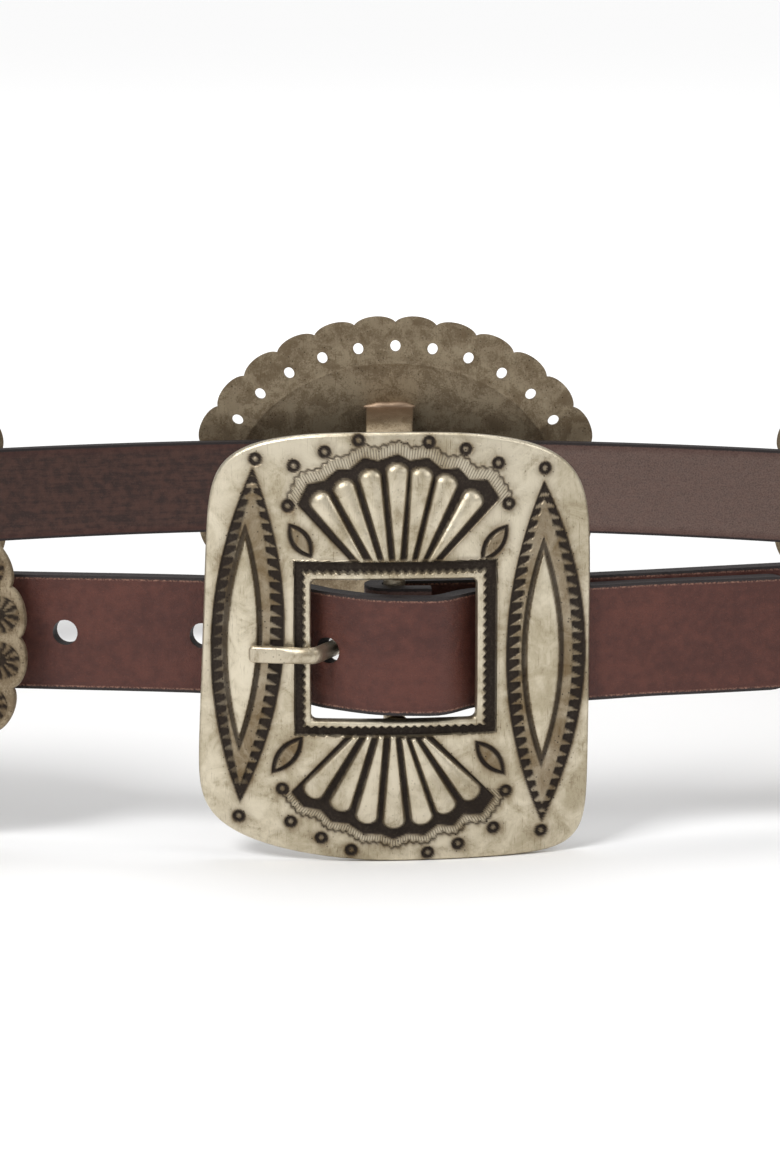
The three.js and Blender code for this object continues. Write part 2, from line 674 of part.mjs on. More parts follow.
function makeConchoPlate() {
  const surface = new Surface();
  const holeInner = BORDER_HOLE_INSET + BORDER_HOLE_RADIUS;
  const put = (point, out) => surface.points.push(new THREE.Vector3(point.x, -out, point.y)) - 1;
  const face = (base) => {
    const borderOut = (inset) => base + BORDER_RISE * (inset / BORDER_WIDTH);
    const cells = [];
    const inner = [];
    for (let i = 0; i < SCALLOPS; i += 1) {
      inner.push(put(borderPoint((i - 0.5) / SCALLOPS, BORDER_WIDTH), borderOut(BORDER_WIDTH)));
    }
    const rim = [];
    for (let i = 0; i < SCALLOPS; i += 1) {
      rim.push(put(crestEnd(i - 0.5 + SCALLOP_CREST), base));
      rim.push(put(borderPoint(i / SCALLOPS, SCALLOP_DEPTH), base));
      rim.push(put(crestEnd(i + 0.5 - SCALLOP_CREST), base));
    }
    for (let i = 0; i < SCALLOPS; i += 1) {
      const { point, normal } = conchoEdge(i / SCALLOPS);
      const centre = point.clone().addScaledVector(normal, -BORDER_HOLE_INSET);
      const across = new THREE.Vector2(-normal.y, normal.x);
      const hole = [210, 150, 90, 30, 330, 270].map((degrees) => {
        const angle = THREE.MathUtils.degToRad(degrees);
        const corner = centre.clone().addScaledVector(across, BORDER_HOLE_RADIUS * Math.cos(angle))
          .addScaledVector(normal, BORDER_HOLE_RADIUS * Math.sin(angle));
        return put(corner, borderOut(holeInner));
      });
      const next = (i + 1) % SCALLOPS;
      const edge = [inner[i], rim[3 * i], rim[3 * i + 1], rim[3 * i + 2], inner[next], inner[next]];
      cells.push({ hole, edge, crest: [inner[next], rim[3 * i + 2], rim[3 * next]] });
    }
    const inside = (share) => surface.loop(inner.map((index) => {
      const { x, z } = surface.points[index];
      return new THREE.Vector3(x * share, -(borderOut(BORDER_WIDTH) + DOME_HEIGHT * (1 - share ** 2)), z * share);
    }));
    const domes = [inner, ...DOME_RINGS.map(inside)];
    const top = put(new THREE.Vector2(), borderOut(BORDER_WIDTH) + DOME_HEIGHT);
    return { cells, rim, domes, top };
  };
  const back = face(0);
  const front = face(CONCHO_THICKNESS);
  const skin = ({ cells, domes, top }) => {
    cells.forEach(({ hole, edge, crest }) => {
      surface.bridge(hole, edge);
      surface.faces.push(crest);
    });
    for (let i = 1; i < domes.length; i += 1) surface.bridge(domes[i], domes[i - 1]);
    surface.fan(top, domes[domes.length - 1]);
  };
  skin(back);
  surface.faces.forEach((corners) => corners.reverse());
  skin(front);
  front.cells.forEach(({ hole }, i) => surface.bridge(back.cells[i].hole, hole));
  surface.bridge(front.rim, back.rim);
  return surface.geometry();
}

// The bail soldered to a concho's back: a flat staple that the strap passes through

function makeBail() {
  const innerHalf = STRAP_WIDTH / 2 + BAIL_GAP + 2;
  const innerIn = -(halfThickness + BAIL_GAP);
  const backOut = (up) => {
    const share = up / (CONCHO_HALF_HEIGHT - BORDER_WIDTH);
    return CONCHO_STANDOFF + BORDER_RISE + DOME_HEIGHT * (1 - Math.min(share ** 2, 1));
  };
  const footUp = innerHalf + BAIL_FOOT;
  const half = [
    { up: innerHalf - 1.5, inner: innerIn - BAIL_THICKNESS },
    { up: innerHalf + BAIL_THICKNESS, inner: innerIn - BAIL_THICKNESS + 1 },
    { up: footUp + BAIL_THICKNESS, inner: backOut(footUp) + CONCHO_THICKNESS / 2 },
  ];
  const under = [
    { up: footUp, inner: backOut(footUp) + CONCHO_THICKNESS / 2 },
    { up: innerHalf, inner: innerIn + 1 },
    { up: innerHalf - 1.5, inner: innerIn },
  ];
  const upper = [...half, ...under];
  const outline = [...upper, ...[...upper].reverse().map(({ up, inner }) => ({ up: -up, inner }))];
  const shape = new THREE.Shape(outline.map(({ up, inner }) => new THREE.Vector2(inner - CONCHO_STANDOFF, up)));
  return new THREE.ExtrudeGeometry(shape, { depth: BAIL_WIDTH, bevelEnabled: false })
    .translate(0, 0, -BAIL_WIDTH / 2)
    .applyMatrix4(new THREE.Matrix4().makeBasis(
      new THREE.Vector3(0, -1, 0), new THREE.Vector3(0, 0, 1), new THREE.Vector3(-1, 0, 0),
    ))
    .translate(BAIL_ACROSS, 0, 0);
}

// Materials

const leather = new THREE.MeshStandardMaterial({ color: 0x6e3c30, roughness: 0.6, metalness: 0 });
const silver = new THREE.MeshStandardMaterial({ color: 0xc8bea5, roughness: 0.35, metalness: 1 });
const tarnished = new THREE.MeshStandardMaterial({ color: 0x8a7a66, roughness: 0.5, metalness: 1 });
const brass = new THREE.MeshStandardMaterial({ color: 0xa8863c, roughness: 0.4, metalness: 1 });

function named(name, geometry, material) {
  const mesh = new THREE.Mesh(geometry, material);
  mesh.name = name;
  return mesh;
}

// Assembly

const belt = new THREE.Group();
belt.add(named('strap', makeStrap(), leather));

const buckleGroup = groupAt(buckleFrame, plateCentreZ);
buckleGroup.add(named('buckle', makeBuckle(), silver));
belt.add(buckleGroup);

const tongueGroup = groupAt(buckleFrame, tongueZ);
tongueGroup.add(named('tongue', makeTongue(), silver));
belt.add(tongueGroup);

for (const { name, rise } of [{ name: 'rivet_top', rise: RIVET_RISE }, { name: 'rivet_bottom', rise: -RIVET_RISE }]) {
  const group = groupAt(buckleFrame, strapCentreZ + rise);
  const rivet = named(name, makeRivet(), brass);
  rivet.position.set(RIVET_ACROSS, -BAR_OUT, 0);
  group.add(rivet);
  belt.add(group);
}

const conchoSolid = joined([makeConchoPlate(), makeBail()]);
for (const { name, share } of CONCHO_PLACES) {
  const frame = loop.frameAt(BUCKLE_OFF_MIDDLE + share * loop.length);
  const group = groupAt(frame, strapCentreZ);
  const concho = named(name, geometryOf(conchoSolid), tarnished);
  concho.position.set(0, -CONCHO_STANDOFF, 0);
  group.add(concho);
  belt.add(group);
}

// The origin moves to the bottom centre of the whole

const box = new THREE.Box3().setFromObject(belt, true);
const centre = box.getCenter(new THREE.Vector3());
belt.position.set(-centre.x, -centre.y, -box.min.z);

export default belt;
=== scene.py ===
"""A concho belt standing on its edge, dressed over its solid model.

The strap, buckle, tongue, rivets and conchos are built again here as finer meshes in the places of
the solids that they stand for. Sizes are in millimetres and the meshes are written in metres.
"""

import logging
import math
from dataclasses import dataclass, field
from enum import Enum

import bmesh
import bpy
import numpy as np
from mathutils import Matrix, Vector


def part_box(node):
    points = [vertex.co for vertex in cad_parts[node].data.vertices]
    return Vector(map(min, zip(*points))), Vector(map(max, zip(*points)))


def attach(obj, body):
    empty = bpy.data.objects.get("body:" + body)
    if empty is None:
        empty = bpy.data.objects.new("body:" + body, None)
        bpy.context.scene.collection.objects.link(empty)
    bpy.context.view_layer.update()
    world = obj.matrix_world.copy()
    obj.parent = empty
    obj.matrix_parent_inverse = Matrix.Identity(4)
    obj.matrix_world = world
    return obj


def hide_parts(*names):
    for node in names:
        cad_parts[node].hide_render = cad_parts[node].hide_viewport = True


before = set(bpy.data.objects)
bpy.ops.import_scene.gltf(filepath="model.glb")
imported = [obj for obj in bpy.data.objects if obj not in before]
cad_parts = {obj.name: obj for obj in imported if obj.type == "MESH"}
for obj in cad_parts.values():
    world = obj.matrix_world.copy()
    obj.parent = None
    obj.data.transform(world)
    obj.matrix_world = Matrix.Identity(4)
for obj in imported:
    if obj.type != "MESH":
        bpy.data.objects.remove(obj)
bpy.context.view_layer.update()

log = logging.getLogger("concho_belt")

METRES = 0.001
Colour = tuple[float, float, float]


class Slot(Enum):
    """The record's material slots."""

    LEATHER = "strap_leather"
    SILVER = "stamped_silver"
    TARNISHED = "tarnished_silver"
    BRASS = "rivet_brass"


class Value(Enum):
    """Names of the values that a mesh carries at its points for its finish."""

    PATINA = "patina"
    HALO = "halo"
    SOLDER = "solder"
    FLAT = "flat"
    GRAIN_SIDE = "grain_side"
    TICKED = "ticked"
    TICK_RUN = "tick_run"


# Small sums that several pieces share


def smoothstep(low: float, high: float, at: np.ndarray) -> np.ndarray:
    """A smooth rise from 0 at low to 1 at high.

    Args:
        low: where the rise starts; it may be above high for a fall.
        high: where the rise ends.
        at: the values to look up.

    Returns:
        Shares from 0 to 1.
    """
    t = np.clip((at - low) / (high - low), 0, 1)
    return t * t * (3 - 2 * t)


def linear(red: int, green: int, blue: int) -> Colour:
    """Turns a screen colour into a linear one.

    Args:
        red: from 0 to 255.
        green: from 0 to 255.
        blue: from 0 to 255.

    Returns:
        The same colour as three linear shares.
    """
    shares = [channel / 255 for channel in (red, green, blue)]
    return tuple(s / 12.92 if s <= 0.04045 else ((s + 0.055) / 1.055) ** 2.4 for s in shares)


# Meshes


@dataclass
class MeshDraft:
    """Points, faces and values at the points, gathered before they become one mesh."""

    points: list[np.ndarray] = field(default_factory=list)
    faces: list[np.ndarray] = field(default_factory=list)
    values: dict[Value, list[np.ndarray]] = field(default_factory=dict)
    count: int = 0

    def add_points(self, points: np.ndarray, **values: np.ndarray | float) -> np.ndarray:
        """Adds points and their values.

        Args:
            points: an array whose last axis holds three coordinates in millimetres.
            values: a value or an array for each name in Value that the mesh carries.

        Returns:
            The new points' numbers, in the shape of the array without its last axis.
        """
        flat = points.reshape(-1, 3)
        numbers = np.arange(self.count, self.count + len(flat)).reshape(points.shape[:-1])
        for name, given in values.items():
            value = Value[name.upper()]
            whole = np.broadcast_to(given, points.shape[:-1]).astype(float).ravel()
            before = self.values.setdefault(value, [np.zeros(self.count)])
            missing = self.count - sum(len(part) for part in before)
            before.extend([np.zeros(missing), whole])
        self.points.append(flat)
        self.count += len(flat)
        return numbers

    def add_faces(self, corners: np.ndarray) -> None:
        """Adds faces with the same number of corners, one a row."""
        if corners.size:
            self.faces.append(corners.reshape(-1, corners.shape[-1]).astype(np.int64))

    def add_grid(self, numbers: np.ndarray, round_first: bool = False, round_last: bool = False) -> None:
        """Adds four-cornered faces over a grid of point numbers.

        Args:
            numbers: the point numbers in rows and columns.
            round_first: joins the last row to the first.
            round_last: joins the last column to the first.
        """
        grid = numbers
        if round_first:
            grid = np.concatenate([grid, grid[:1]], axis=0)
        if round_last:
            grid = np.concatenate([grid, grid[:, :1]], axis=1)
        self.add_faces(np.stack([grid[:-1, :-1], grid[1:, :-1], grid[1:, 1:], grid[:-1, 1:]], axis=-1))

    def add_fan(self, centre: int, ring: np.ndarray) -> None:
        """Closes a ring of point numbers with triangles to a centre point."""
        after = np.roll(ring, -1)
        self.add_faces(np.stack([np.full(len(ring), centre), ring, after], axis=-1))

    def build(self, name: str, sharp_above: float = 42.0) -> bpy.types.Object:
        """Makes the mesh and its object.

        Args:
            name: the object's name.
            sharp_above: edges that turn by more degrees than this stay sharp.

        Returns:
            The new object, linked to the scene.
        """
        mesh = bpy.data.meshes.new(name)
        points = np.concatenate(self.points) * METRES
        corners = np.concatenate([part.ravel() for part in self.faces])
        sizes = np.concatenate([np.full(len(part), part.shape[1]) for part in self.faces])
        mesh.vertices.add(len(points))
        mesh.loops.add(len(corners))
        mesh.polygons.add(len(sizes))
        mesh.vertices.foreach_set("co", points.astype(np.float32).ravel())
        mesh.loops.foreach_set("vertex_index", corners.astype(np.int32))
        mesh.polygons.foreach_set("loop_start", (np.cumsum(sizes) - sizes).astype(np.int32))
        mesh.update(calc_edges=True)
        mesh.validate()
        for value, parts in self.values.items():
            whole = np.concatenate(parts)
            whole = np.concatenate([whole, np.zeros(self.count - len(whole))])
            attribute = mesh.attributes.new(value.value, "FLOAT", "POINT")
            attribute.data.foreach_set("value", whole.astype(np.float32))
        turn_outward(mesh)
        mesh.shade_smooth()
        mesh.set_sharp_from_angle(angle=math.radians(sharp_above))
        made = bpy.data.objects.new(name, mesh)
        bpy.context.scene.collection.objects.link(made)
        return made


def turn_outward(mesh: bpy.types.Mesh) -> None:
    """Makes every face of a mesh look outward."""
    work = bmesh.new()
    work.from_mesh(mesh)
    bmesh.ops.recalc_face_normals(work, faces=work.faces)
    work.to_mesh(mesh)
    work.free()


def sweep(draft: MeshDraft, way: np.ndarray, sections: np.ndarray, **values: float) -> None:
    """Draws a closed section along a way that lies in the plane across X and out along -Y.

    Args:
        draft: the mesh that the solid is added to.
        way: points (across, out), one a row.
        sections: for each point of the way, the section's corners as (out of the way, up).
        values: values that every point carries.
    """
    steps = np.gradient(way, axis=0)
    steps /= np.linalg.norm(steps, axis=1, keepdims=True)
    normal = np.stack([-steps[:, 1], steps[:, 0]], axis=1)
    across = way[:, None, 0] + normal[:, None, 0] * sections[:, :, 0]
    out = way[:, None, 1] + normal[:, None, 1] * sections[:, :, 0]
    numbers = draft.add_points(np.stack([across, -out, sections[:, :, 1]], axis=-1), **values)
    draft.add_grid(numbers, round_last=True)
    draft.add_faces(numbers[:1])
    draft.add_faces(numbers[-1:])


def ellipse_section(half_out: float, half_up: float, sides: int) -> np.ndarray:
    """Corners of an ellipse as (out, up), one a row."""
    turns = 2 * math.pi * np.arange(sides) / sides
    return np.stack([half_out * np.cos(turns), half_up * np.sin(turns)], axis=1)


def rounded_section(half_out: float, half_up: float, radius: float, steps: int = 4) -> np.ndarray:
    """Corners of a rectangle with rounded corners.

    Args:
        half_out: half the thickness.
        half_up: half the height.
        radius: the corners' radius.
        steps: points on each corner.

    Returns:
        The corners as (out, up), one a row.
    """
    corners = []
    for quarter, (side, end) in enumerate([(1, 1), (-1, 1), (-1, -1), (1, -1)]):
        for step in range(steps):
            turn = math.pi / 2 * (quarter + step / (steps - 1))
            corners.append((
                side * (half_out - radius) + radius * math.cos(turn),
                end * (half_up - radius) + radius * math.sin(turn),
            ))
    return np.array(corners)


def smooth_through(stations: list[tuple[float, float]], at: np.ndarray) -> np.ndarray:
    """A smooth curve through stations without overshoot.

    Args:
        stations: pairs of place and value, with rising places.
        at: the places to look up.

    Returns:
        The values there.
    """
    places = np.array([place for place, _ in stations])
    values = np.array([value for _, value in stations])
    slopes = np.diff(values) / np.diff(places)
    before, after = slopes[:-1], slopes[1:]
    same_way = before * after > 0
    safe = np.where(same_way, before + after, 1)
    tangents = np.concatenate([[0], np.where(same_way, 2 * before * after / safe, 0), [0]])
    held = np.clip(at, places[0], places[-1])
    i = np.clip(np.searchsorted(places, held, side="right") - 1, 0, len(places) - 2)
    span = places[i + 1] - places[i]
    t = (held - places[i]) / span
    a, b = values[i], values[i + 1]
    p, q = tangents[i], tangents[i + 1]
    bend = (3 * (b - a) - span * (2 * p + q)) * t**2 + (2 * (a - b) + span * (p + q)) * t**3
    return a + span * p * t + bend


def catmull(points: np.ndarray, count: int) -> np.ndarray:
    """Evenly spaced points on a smooth curve through the given ones.

    Args:
        points: the points that the curve passes through, one a row.
        count: how many points to return.

    Returns:
        The points on the curve, one a row.
    """
    ends = np.concatenate([[2 * points[0] - points[1]], points, [2 * points[-1] - points[-2]]])
    t = np.linspace(0, 1, 24, endpoint=False)[:, None]
    parts = []
    for a, b, c, d in zip(ends, ends[1:], ends[2:], ends[3:]):
        square, cube = 2 * a - 5 * b + 4 * c - d, 3 * b - a - 3 * c + d
        parts.append(0.5 * (2 * b + (c - a) * t + square * t**2 + cube * t**3))
    fine = np.concatenate([*parts, points[-1:]])
    lengths = np.concatenate([[0], np.cumsum(np.linalg.norm(np.diff(fine, axis=0), axis=1))])
    wanted = np.linspace(0, lengths[-1], count)
    return np.stack([np.interp(wanted, lengths, column) for column in fine.T], axis=1)


# Materials


class Wire:
    """A shader socket whose values can be reckoned with."""

    def __init__(self, recipe: "Recipe", socket: bpy.types.NodeSocket) -> None:
        """Keeps the socket and the recipe that its nodes go into."""
        self.recipe = recipe
        self.socket = socket

    def _sum(self, operation: str, *others: "Wire | float") -> "Wire":
        """Adds a Math node on this socket and the others."""
        sockets = dict(enumerate([self, *others]))
        return self.recipe.add("ShaderNodeMath", {"operation": operation}, sockets)

    def _reflected(self, operation: str, other: float) -> "Wire":
        """Adds a Math node with the other value first."""
        return self.recipe.add("ShaderNodeMath", {"operation": operation}, {0: other, 1: self})

    def __add__(self, other: "Wire | float") -> "Wire":
        """This plus the other."""
        return self._sum("ADD", other)

    def __radd__(self, other: float) -> "Wire":
        """The other plus this."""
        return self._reflected("ADD", other)

    def __sub__(self, other: "Wire | float") -> "Wire":
        """This less the other."""
        return self._sum("SUBTRACT", other)

    def __rsub__(self, other: float) -> "Wire":
        """The other less this."""
        return self._reflected("SUBTRACT", other)

    def __mul__(self, other: "Wire | float") -> "Wire":
        """This times the other."""
        return self._sum("MULTIPLY", other)

    def at_most(self, other: "Wire | float") -> "Wire":
        """The lesser of the two."""
        return self._sum("MINIMUM", other)

    def at_least(self, other: "Wire | float") -> "Wire":
        """The greater of the two."""
        return self._sum("MAXIMUM", other)

    def size(self) -> "Wire":
        """This without its sign."""
        return self._sum("ABSOLUTE")

    def rise(self, low: float, high: float) -> "Wire":
        """A smooth rise from 0 at low to 1 at high; low may be the greater, for a fall."""
        first, last = (low, high) if low < high else (high, low)
        ends = (0.0, 1.0) if low < high else (1.0, 0.0)
        return self.recipe.add(
            "ShaderNodeMapRange",
            {"interpolation_type": "SMOOTHSTEP"},
            {"Value": self, "From Min": first, "From Max": last, "To Min": ends[0], "To Max": ends[1]},
        )


class Recipe:
    """The node tree of one material, with its shader at the end."""

    def __init__(self, name: str) -> None:
        """Makes an empty material.

        Args:
            name: the material's name.
        """
        self.material = bpy.data.materials.new(name)
        self.material.use_nodes = True
        self.tree = self.material.node_tree
        self.tree.nodes.clear()

    def add(
        self,
        kind: str,
        settings: dict[str, object] | None = None,
        sockets: dict[str | int, object] | None = None,
        output: str | int = 0,
    ) -> Wire:
        """Adds a node.

        Args:
            kind: the node's type.
            settings: its properties, set before its sockets.
            sockets: values or wires for its inputs, by name or number.
            output: the output that is returned.

        Returns:
            A wire on that output.
        """
        node = self.tree.nodes.new(kind)
        for key, value in (settings or {}).items():
            setattr(node, key, value)
        for key, value in (sockets or {}).items():
            socket = node.inputs[key]
            if isinstance(value, Wire):
                self.tree.links.new(value.socket, socket)
            elif isinstance(value, tuple) and socket.type == "RGBA":
                socket.default_value = (*value, 1.0)[:4]
            else:
                socket.default_value = value
        return Wire(self, node.outputs[output])

    def value(self, value: Value) -> Wire:
        """A number that the mesh carries at its points."""
        return self.add("ShaderNodeAttribute", {"attribute_name": value.value}, output="Fac")

    def vector(self, value: Value) -> Wire:
        """A vector that the mesh carries at its points."""
        return self.add("ShaderNodeAttribute", {"attribute_name": value.value}, output="Vector")

    def place(self) -> Wire:
        """The point's own place in metres."""
        return self.add("ShaderNodeTexCoord", output="Object")

    def stretched(self, vector: Wire, scale: Colour) -> Wire:
        """A vector scaled by three numbers."""
        return self.add("ShaderNodeVectorMath", {"operation": "MULTIPLY"}, {0: vector, 1: scale})

    def parts(self, vector: Wire) -> tuple[Wire, Wire, Wire]:
        """A vector's three parts."""
        split = self.add("ShaderNodeSeparateXYZ", sockets={"Vector": vector})
        return tuple(Wire(self, socket) for socket in split.socket.node.outputs)

    def noise(
        self, vector: Wire, scale: float, detail: float = 4.0, rough: float = 0.55, twist: float = 0.0
    ) -> Wire:
        """Cloudy noise from 0 to 1.

        Args:
            vector: where to look it up.
            scale: how many lumps there are in a unit of the vector.
            detail: how many finer layers it has.
            rough: how strong the finer layers are.
            twist: how far it is distorted.

        Returns:
            A wire on the noise.
        """
        return self.add(
            "ShaderNodeTexNoise",
            None,
            {"Vector": vector, "Scale": scale, "Detail": detail, "Roughness": rough, "Distortion": twist},
        )

    def cells(self, vector: Wire, scale: float, feature: str = "F1") -> Wire:
        """Distances in a pattern of cells.

        Args:
            vector: where to look it up.
            scale: how many cells there are in a unit of the vector.
            feature: which distance of Blender's Voronoi node.

        Returns:
            A wire on the distance.
        """
        return self.add("ShaderNodeTexVoronoi", {"feature": feature}, {"Vector": vector, "Scale": scale})

    def mix(self, factor: Wire | float, first: Wire | Colour, second: Wire | Colour) -> Wire:
        """Mixes two colours.

        Args:
            factor: 0 for the first, 1 for the second.
            first: a colour.
            second: a colour.

        Returns:
            A wire on the mixed colour.
        """
        return self.add("ShaderNodeMix", {"data_type": "RGBA"}, {0: factor, 6: first, 7: second}, output=2)

    def bump(self, height: Wire, depth: float, below: Wire | None = None) -> Wire:
        """Turns a height into a normal.

        Args:
            height: a wire from 0 to 1.
            depth: what 1 stands for, in millimetres.
            below: a normal that this one is laid on.

        Returns:
            A wire on the normal.
        """
        sockets = {"Height": height, "Distance": depth * METRES, "Strength": 1.0}
        if below is not None:
            sockets["Normal"] = below
        return self.add("ShaderNodeBump", None, sockets)

    def finish(self, sockets: dict[str, object]) -> bpy.types.Material:
        """Adds the shader and the output.

        Args:
            sockets: values or wires for the shader's inputs.

        Returns:
            The finished material.
        """
        shader = self.add("ShaderNodeBsdfPrincipled", None, sockets)
        self.add_output(shader)
        return self.material

    def add_output(self, shader: Wire) -> None:
        """Ends the tree with the material's output."""
        node = self.tree.nodes.new("ShaderNodeOutputMaterial")
        self.tree.links.new(shader.socket, node.inputs["Surface"])


@dataclass(frozen=True)
class StrapLeather:
    """Vegetable-tanned leather: a dyed grain side, a plain flesh side and burnished edges."""

    grain: Colour = linear(90, 48, 38)
    grain_deep: Colour = linear(68, 33, 26)
    grain_light: Colour = linear(124, 74, 58)
    flesh: Colour = linear(74, 48, 40)
    flesh_deep: Colour = linear(48, 31, 27)
    flesh_grey: Colour = linear(112, 92, 84)
    edge: Colour = linear(34, 26, 26)
    # Lighter colour for the line along the bevel: partly worn leather, partly a painted highlight.
    bevel_wear_and_highlight: Colour = linear(170, 128, 108)
    half_height: float = 10.85
    greyed_from: float = 425.0
    greyed_to: float = 385.0

    def make(self) -> bpy.types.Material:
        """Makes the material from the strap's flat coordinates, in millimetres."""
        recipe = Recipe("strap_leather")
        flat = recipe.vector(Value.FLAT)
        along, rise, depth = recipe.parts(flat)
        grain_side = recipe.value(Value.GRAIN_SIDE)

        broad = recipe.noise(recipe.stretched(flat, (0.05, 0.09, 0.1)), 1.0, 4.0, 0.55, 0.3)
        middling = recipe.noise(flat, 0.5, 4.0, 0.6)
        fine = recipe.noise(flat, 2.6, 5.0, 0.7)
        pores = recipe.cells(flat, 3.4)
        creases = recipe.cells(recipe.stretched(flat, (1.0, 1.5, 1.0)), 1.7, "DISTANCE_TO_EDGE")
        streaks = recipe.noise(recipe.stretched(flat, (0.12, 1.5, 1.0)), 1.0, 4.0, 0.6)

        grain = recipe.mix((broad * 0.55 + middling * 0.45).rise(0.36, 0.64), self.grain_deep, self.grain)
        grain = recipe.mix(fine.rise(0.54, 0.74) * 0.4, grain, self.grain_light)
        grain = recipe.mix(pores.rise(0.34, 0.1) * 0.45, grain, self.grain_deep)
        grain = recipe.mix(creases.rise(0.09, 0.0) * 0.3, grain, self.grain_deep)

        greyed = along.rise(self.greyed_from, self.greyed_to) * 0.8
        flesh = recipe.mix((middling * 0.6 + streaks * 0.4).rise(0.38, 0.62), self.flesh_deep, self.flesh)
        flesh = recipe.mix(fine.rise(0.52, 0.74) * 0.25, flesh, self.flesh_grey)
        flesh = recipe.mix(greyed * (0.35 + fine.rise(0.3, 0.6) * 0.65), flesh, self.flesh_grey)
        flesh = recipe.mix(pores.rise(0.3, 0.1) * 0.35, flesh, self.flesh_deep)

        colour = recipe.mix(grain_side, flesh, grain)
        from_edge = (rise.size() * -1.0) + self.half_height
        shaded = (from_edge + (middling - 0.5) * 2.0).rise(2.6, 0.4) * 0.45
        colour = recipe.mix(shaded, colour, self.grain_deep)
        burnish = (from_edge + (fine - 0.5) * 0.5).rise(0.72, 0.4)
        face = depth.size().rise(1.1, 1.45)
        colour = recipe.mix(burnish.at_least(1.0 - face), colour, self.edge)
        # A lighter line just inside the top and bottom edges of the grain side: partly worn bevel, partly a
        # painted highlight along it.
        line = from_edge.rise(0.42, 0.6) * from_edge.rise(0.95, 0.7)
        colour = recipe.mix(line * fine.rise(0.42, 0.62) * grain_side * 0.55, colour, self.bevel_wear_and_highlight)

        relief = fine * 0.4 + pores.rise(0.0, 0.45) * 0.35 + creases.rise(0.0, 0.12) * 0.25
        normal = recipe.bump(relief, 0.1)
        normal = recipe.bump(middling, 0.25, normal)
        rough = 0.46 + fine * 0.14 + (1.0 - grain_side) * 0.16
        return recipe.finish({
            "Base Color": colour,
            "Roughness": rough,
            "Normal": normal,
            "Specular IOR Level": 0.4,
        })


@dataclass(frozen=True)
class Silver:
    """Worn silver with dark patina left in its recesses."""

    name: str
    bright: Colour = linear(220, 210, 188)
    dull: Colour = linear(172, 160, 134)
    brown: Colour = linear(106, 86, 58)
    dark: Colour = linear(38, 28, 20)
    copper: Colour = linear(176, 152, 130)
    roughness: float = 0.36
    tarnish: float = 0.3
    tick_pitch: float = 0.47

    def make(self) -> bpy.types.Material:
        """Makes the material, darker and duller where the mesh says so."""
        recipe = Recipe(self.name)
        place = recipe.place()
        patina = recipe.value(Value.PATINA)
        halo = recipe.value(Value.HALO)
        solder = recipe.value(Value.SOLDER)

        clouds = recipe.noise(place, 55.0, 5.0, 0.6, 0.5)
        patches = recipe.noise(place, 210.0, 6.0, 0.68, 0.6)
        grit = recipe.noise(place, 2300.0, 5.0, 0.68)
        pits = recipe.cells(place, 900.0)
        specks = recipe.cells(place, 2100.0)
        scratches = recipe.noise(recipe.stretched(place, (6200.0, 900.0, 320.0)), 1.0, 2.0, 0.6, 0.2)

        stained = (clouds * 0.55 + patches * 0.45 + (self.tarnish - 0.3)).rise(0.4, 0.62)
        colour = recipe.mix(stained * (0.55 + self.tarnish), self.bright, self.dull)
        spotted = (patches * 0.65 + grit * 0.35 + (self.tarnish - 0.3) * 0.5).rise(0.53, 0.68)
        colour = recipe.mix(spotted * (self.tarnish * 1.2), colour, self.brown)
        scored = scratches.rise(0.6, 0.72) * (0.25 + stained * 0.35)
        colour = recipe.mix(scored, colour, self.brown)
        halo_share = (halo * (0.3 + patches * 1.1)).at_most(1.0)
        colour = recipe.mix(halo_share * 0.85, colour, self.brown)
        pitted = pits.rise(0.2, 0.07) * (halo * 1.2 + spotted * 0.5 + self.tarnish * 0.4).at_most(1.0)
        specked = specks.rise(0.2, 0.06) * (halo + stained * 0.45).at_most(1.0)
        phase = recipe.value(Value.TICK_RUN) * (2 * math.pi / self.tick_pitch) + patches * 5.0
        tick = recipe.add("ShaderNodeMath", {"operation": "SINE"}, {0: phase}).rise(-0.1, 0.55)
        ticks = tick * recipe.value(Value.TICKED) * (0.55 + grit * 0.5)
        dark = (patina + pitted * 0.75 + specked * 0.4 + ticks * 0.62).at_most(1.0)
        dark = (dark * (1.16 - grit * 0.34)).at_most(1.0)
        colour = recipe.mix(dark, colour, self.dark)
        colour = recipe.mix(solder, colour, self.copper)

        relief = grit * 0.45 + scratches * 0.2 + pits.rise(0.05, 0.22) * 0.35 - ticks * 0.5
        normal = recipe.bump(relief, 0.045)
        normal = recipe.bump(patches, 0.16, normal)
        rough = self.roughness + stained * 0.1 + dark * 0.3 + grit * 0.08
        return recipe.finish({
            "Base Color": colour,
            "Metallic": 1.0 - dark * 0.5,
            "Roughness": rough,
            "Normal": normal,
        })


@dataclass(frozen=True)
class RivetBrass:
    """Plain brass, a little dulled."""

    bright: Colour = linear(196, 160, 88)
    dull: Colour = linear(120, 92, 48)

    def make(self) -> bpy.types.Material:
        """Makes the material."""
        recipe = Recipe("rivet_brass")
        place = recipe.place()
        patches = recipe.noise(place, 420.0, 5.0, 0.6)
        grit = recipe.noise(place, 3000.0, 3.0, 0.6)
        colour = recipe.mix(patches.rise(0.4, 0.65), self.bright, self.dull)
        return recipe.finish({
            "Base Color": colour,
            "Metallic": 1.0,
            "Roughness": 0.3 + patches * 0.15,
            "Normal": recipe.bump(grit, 0.02),
        })


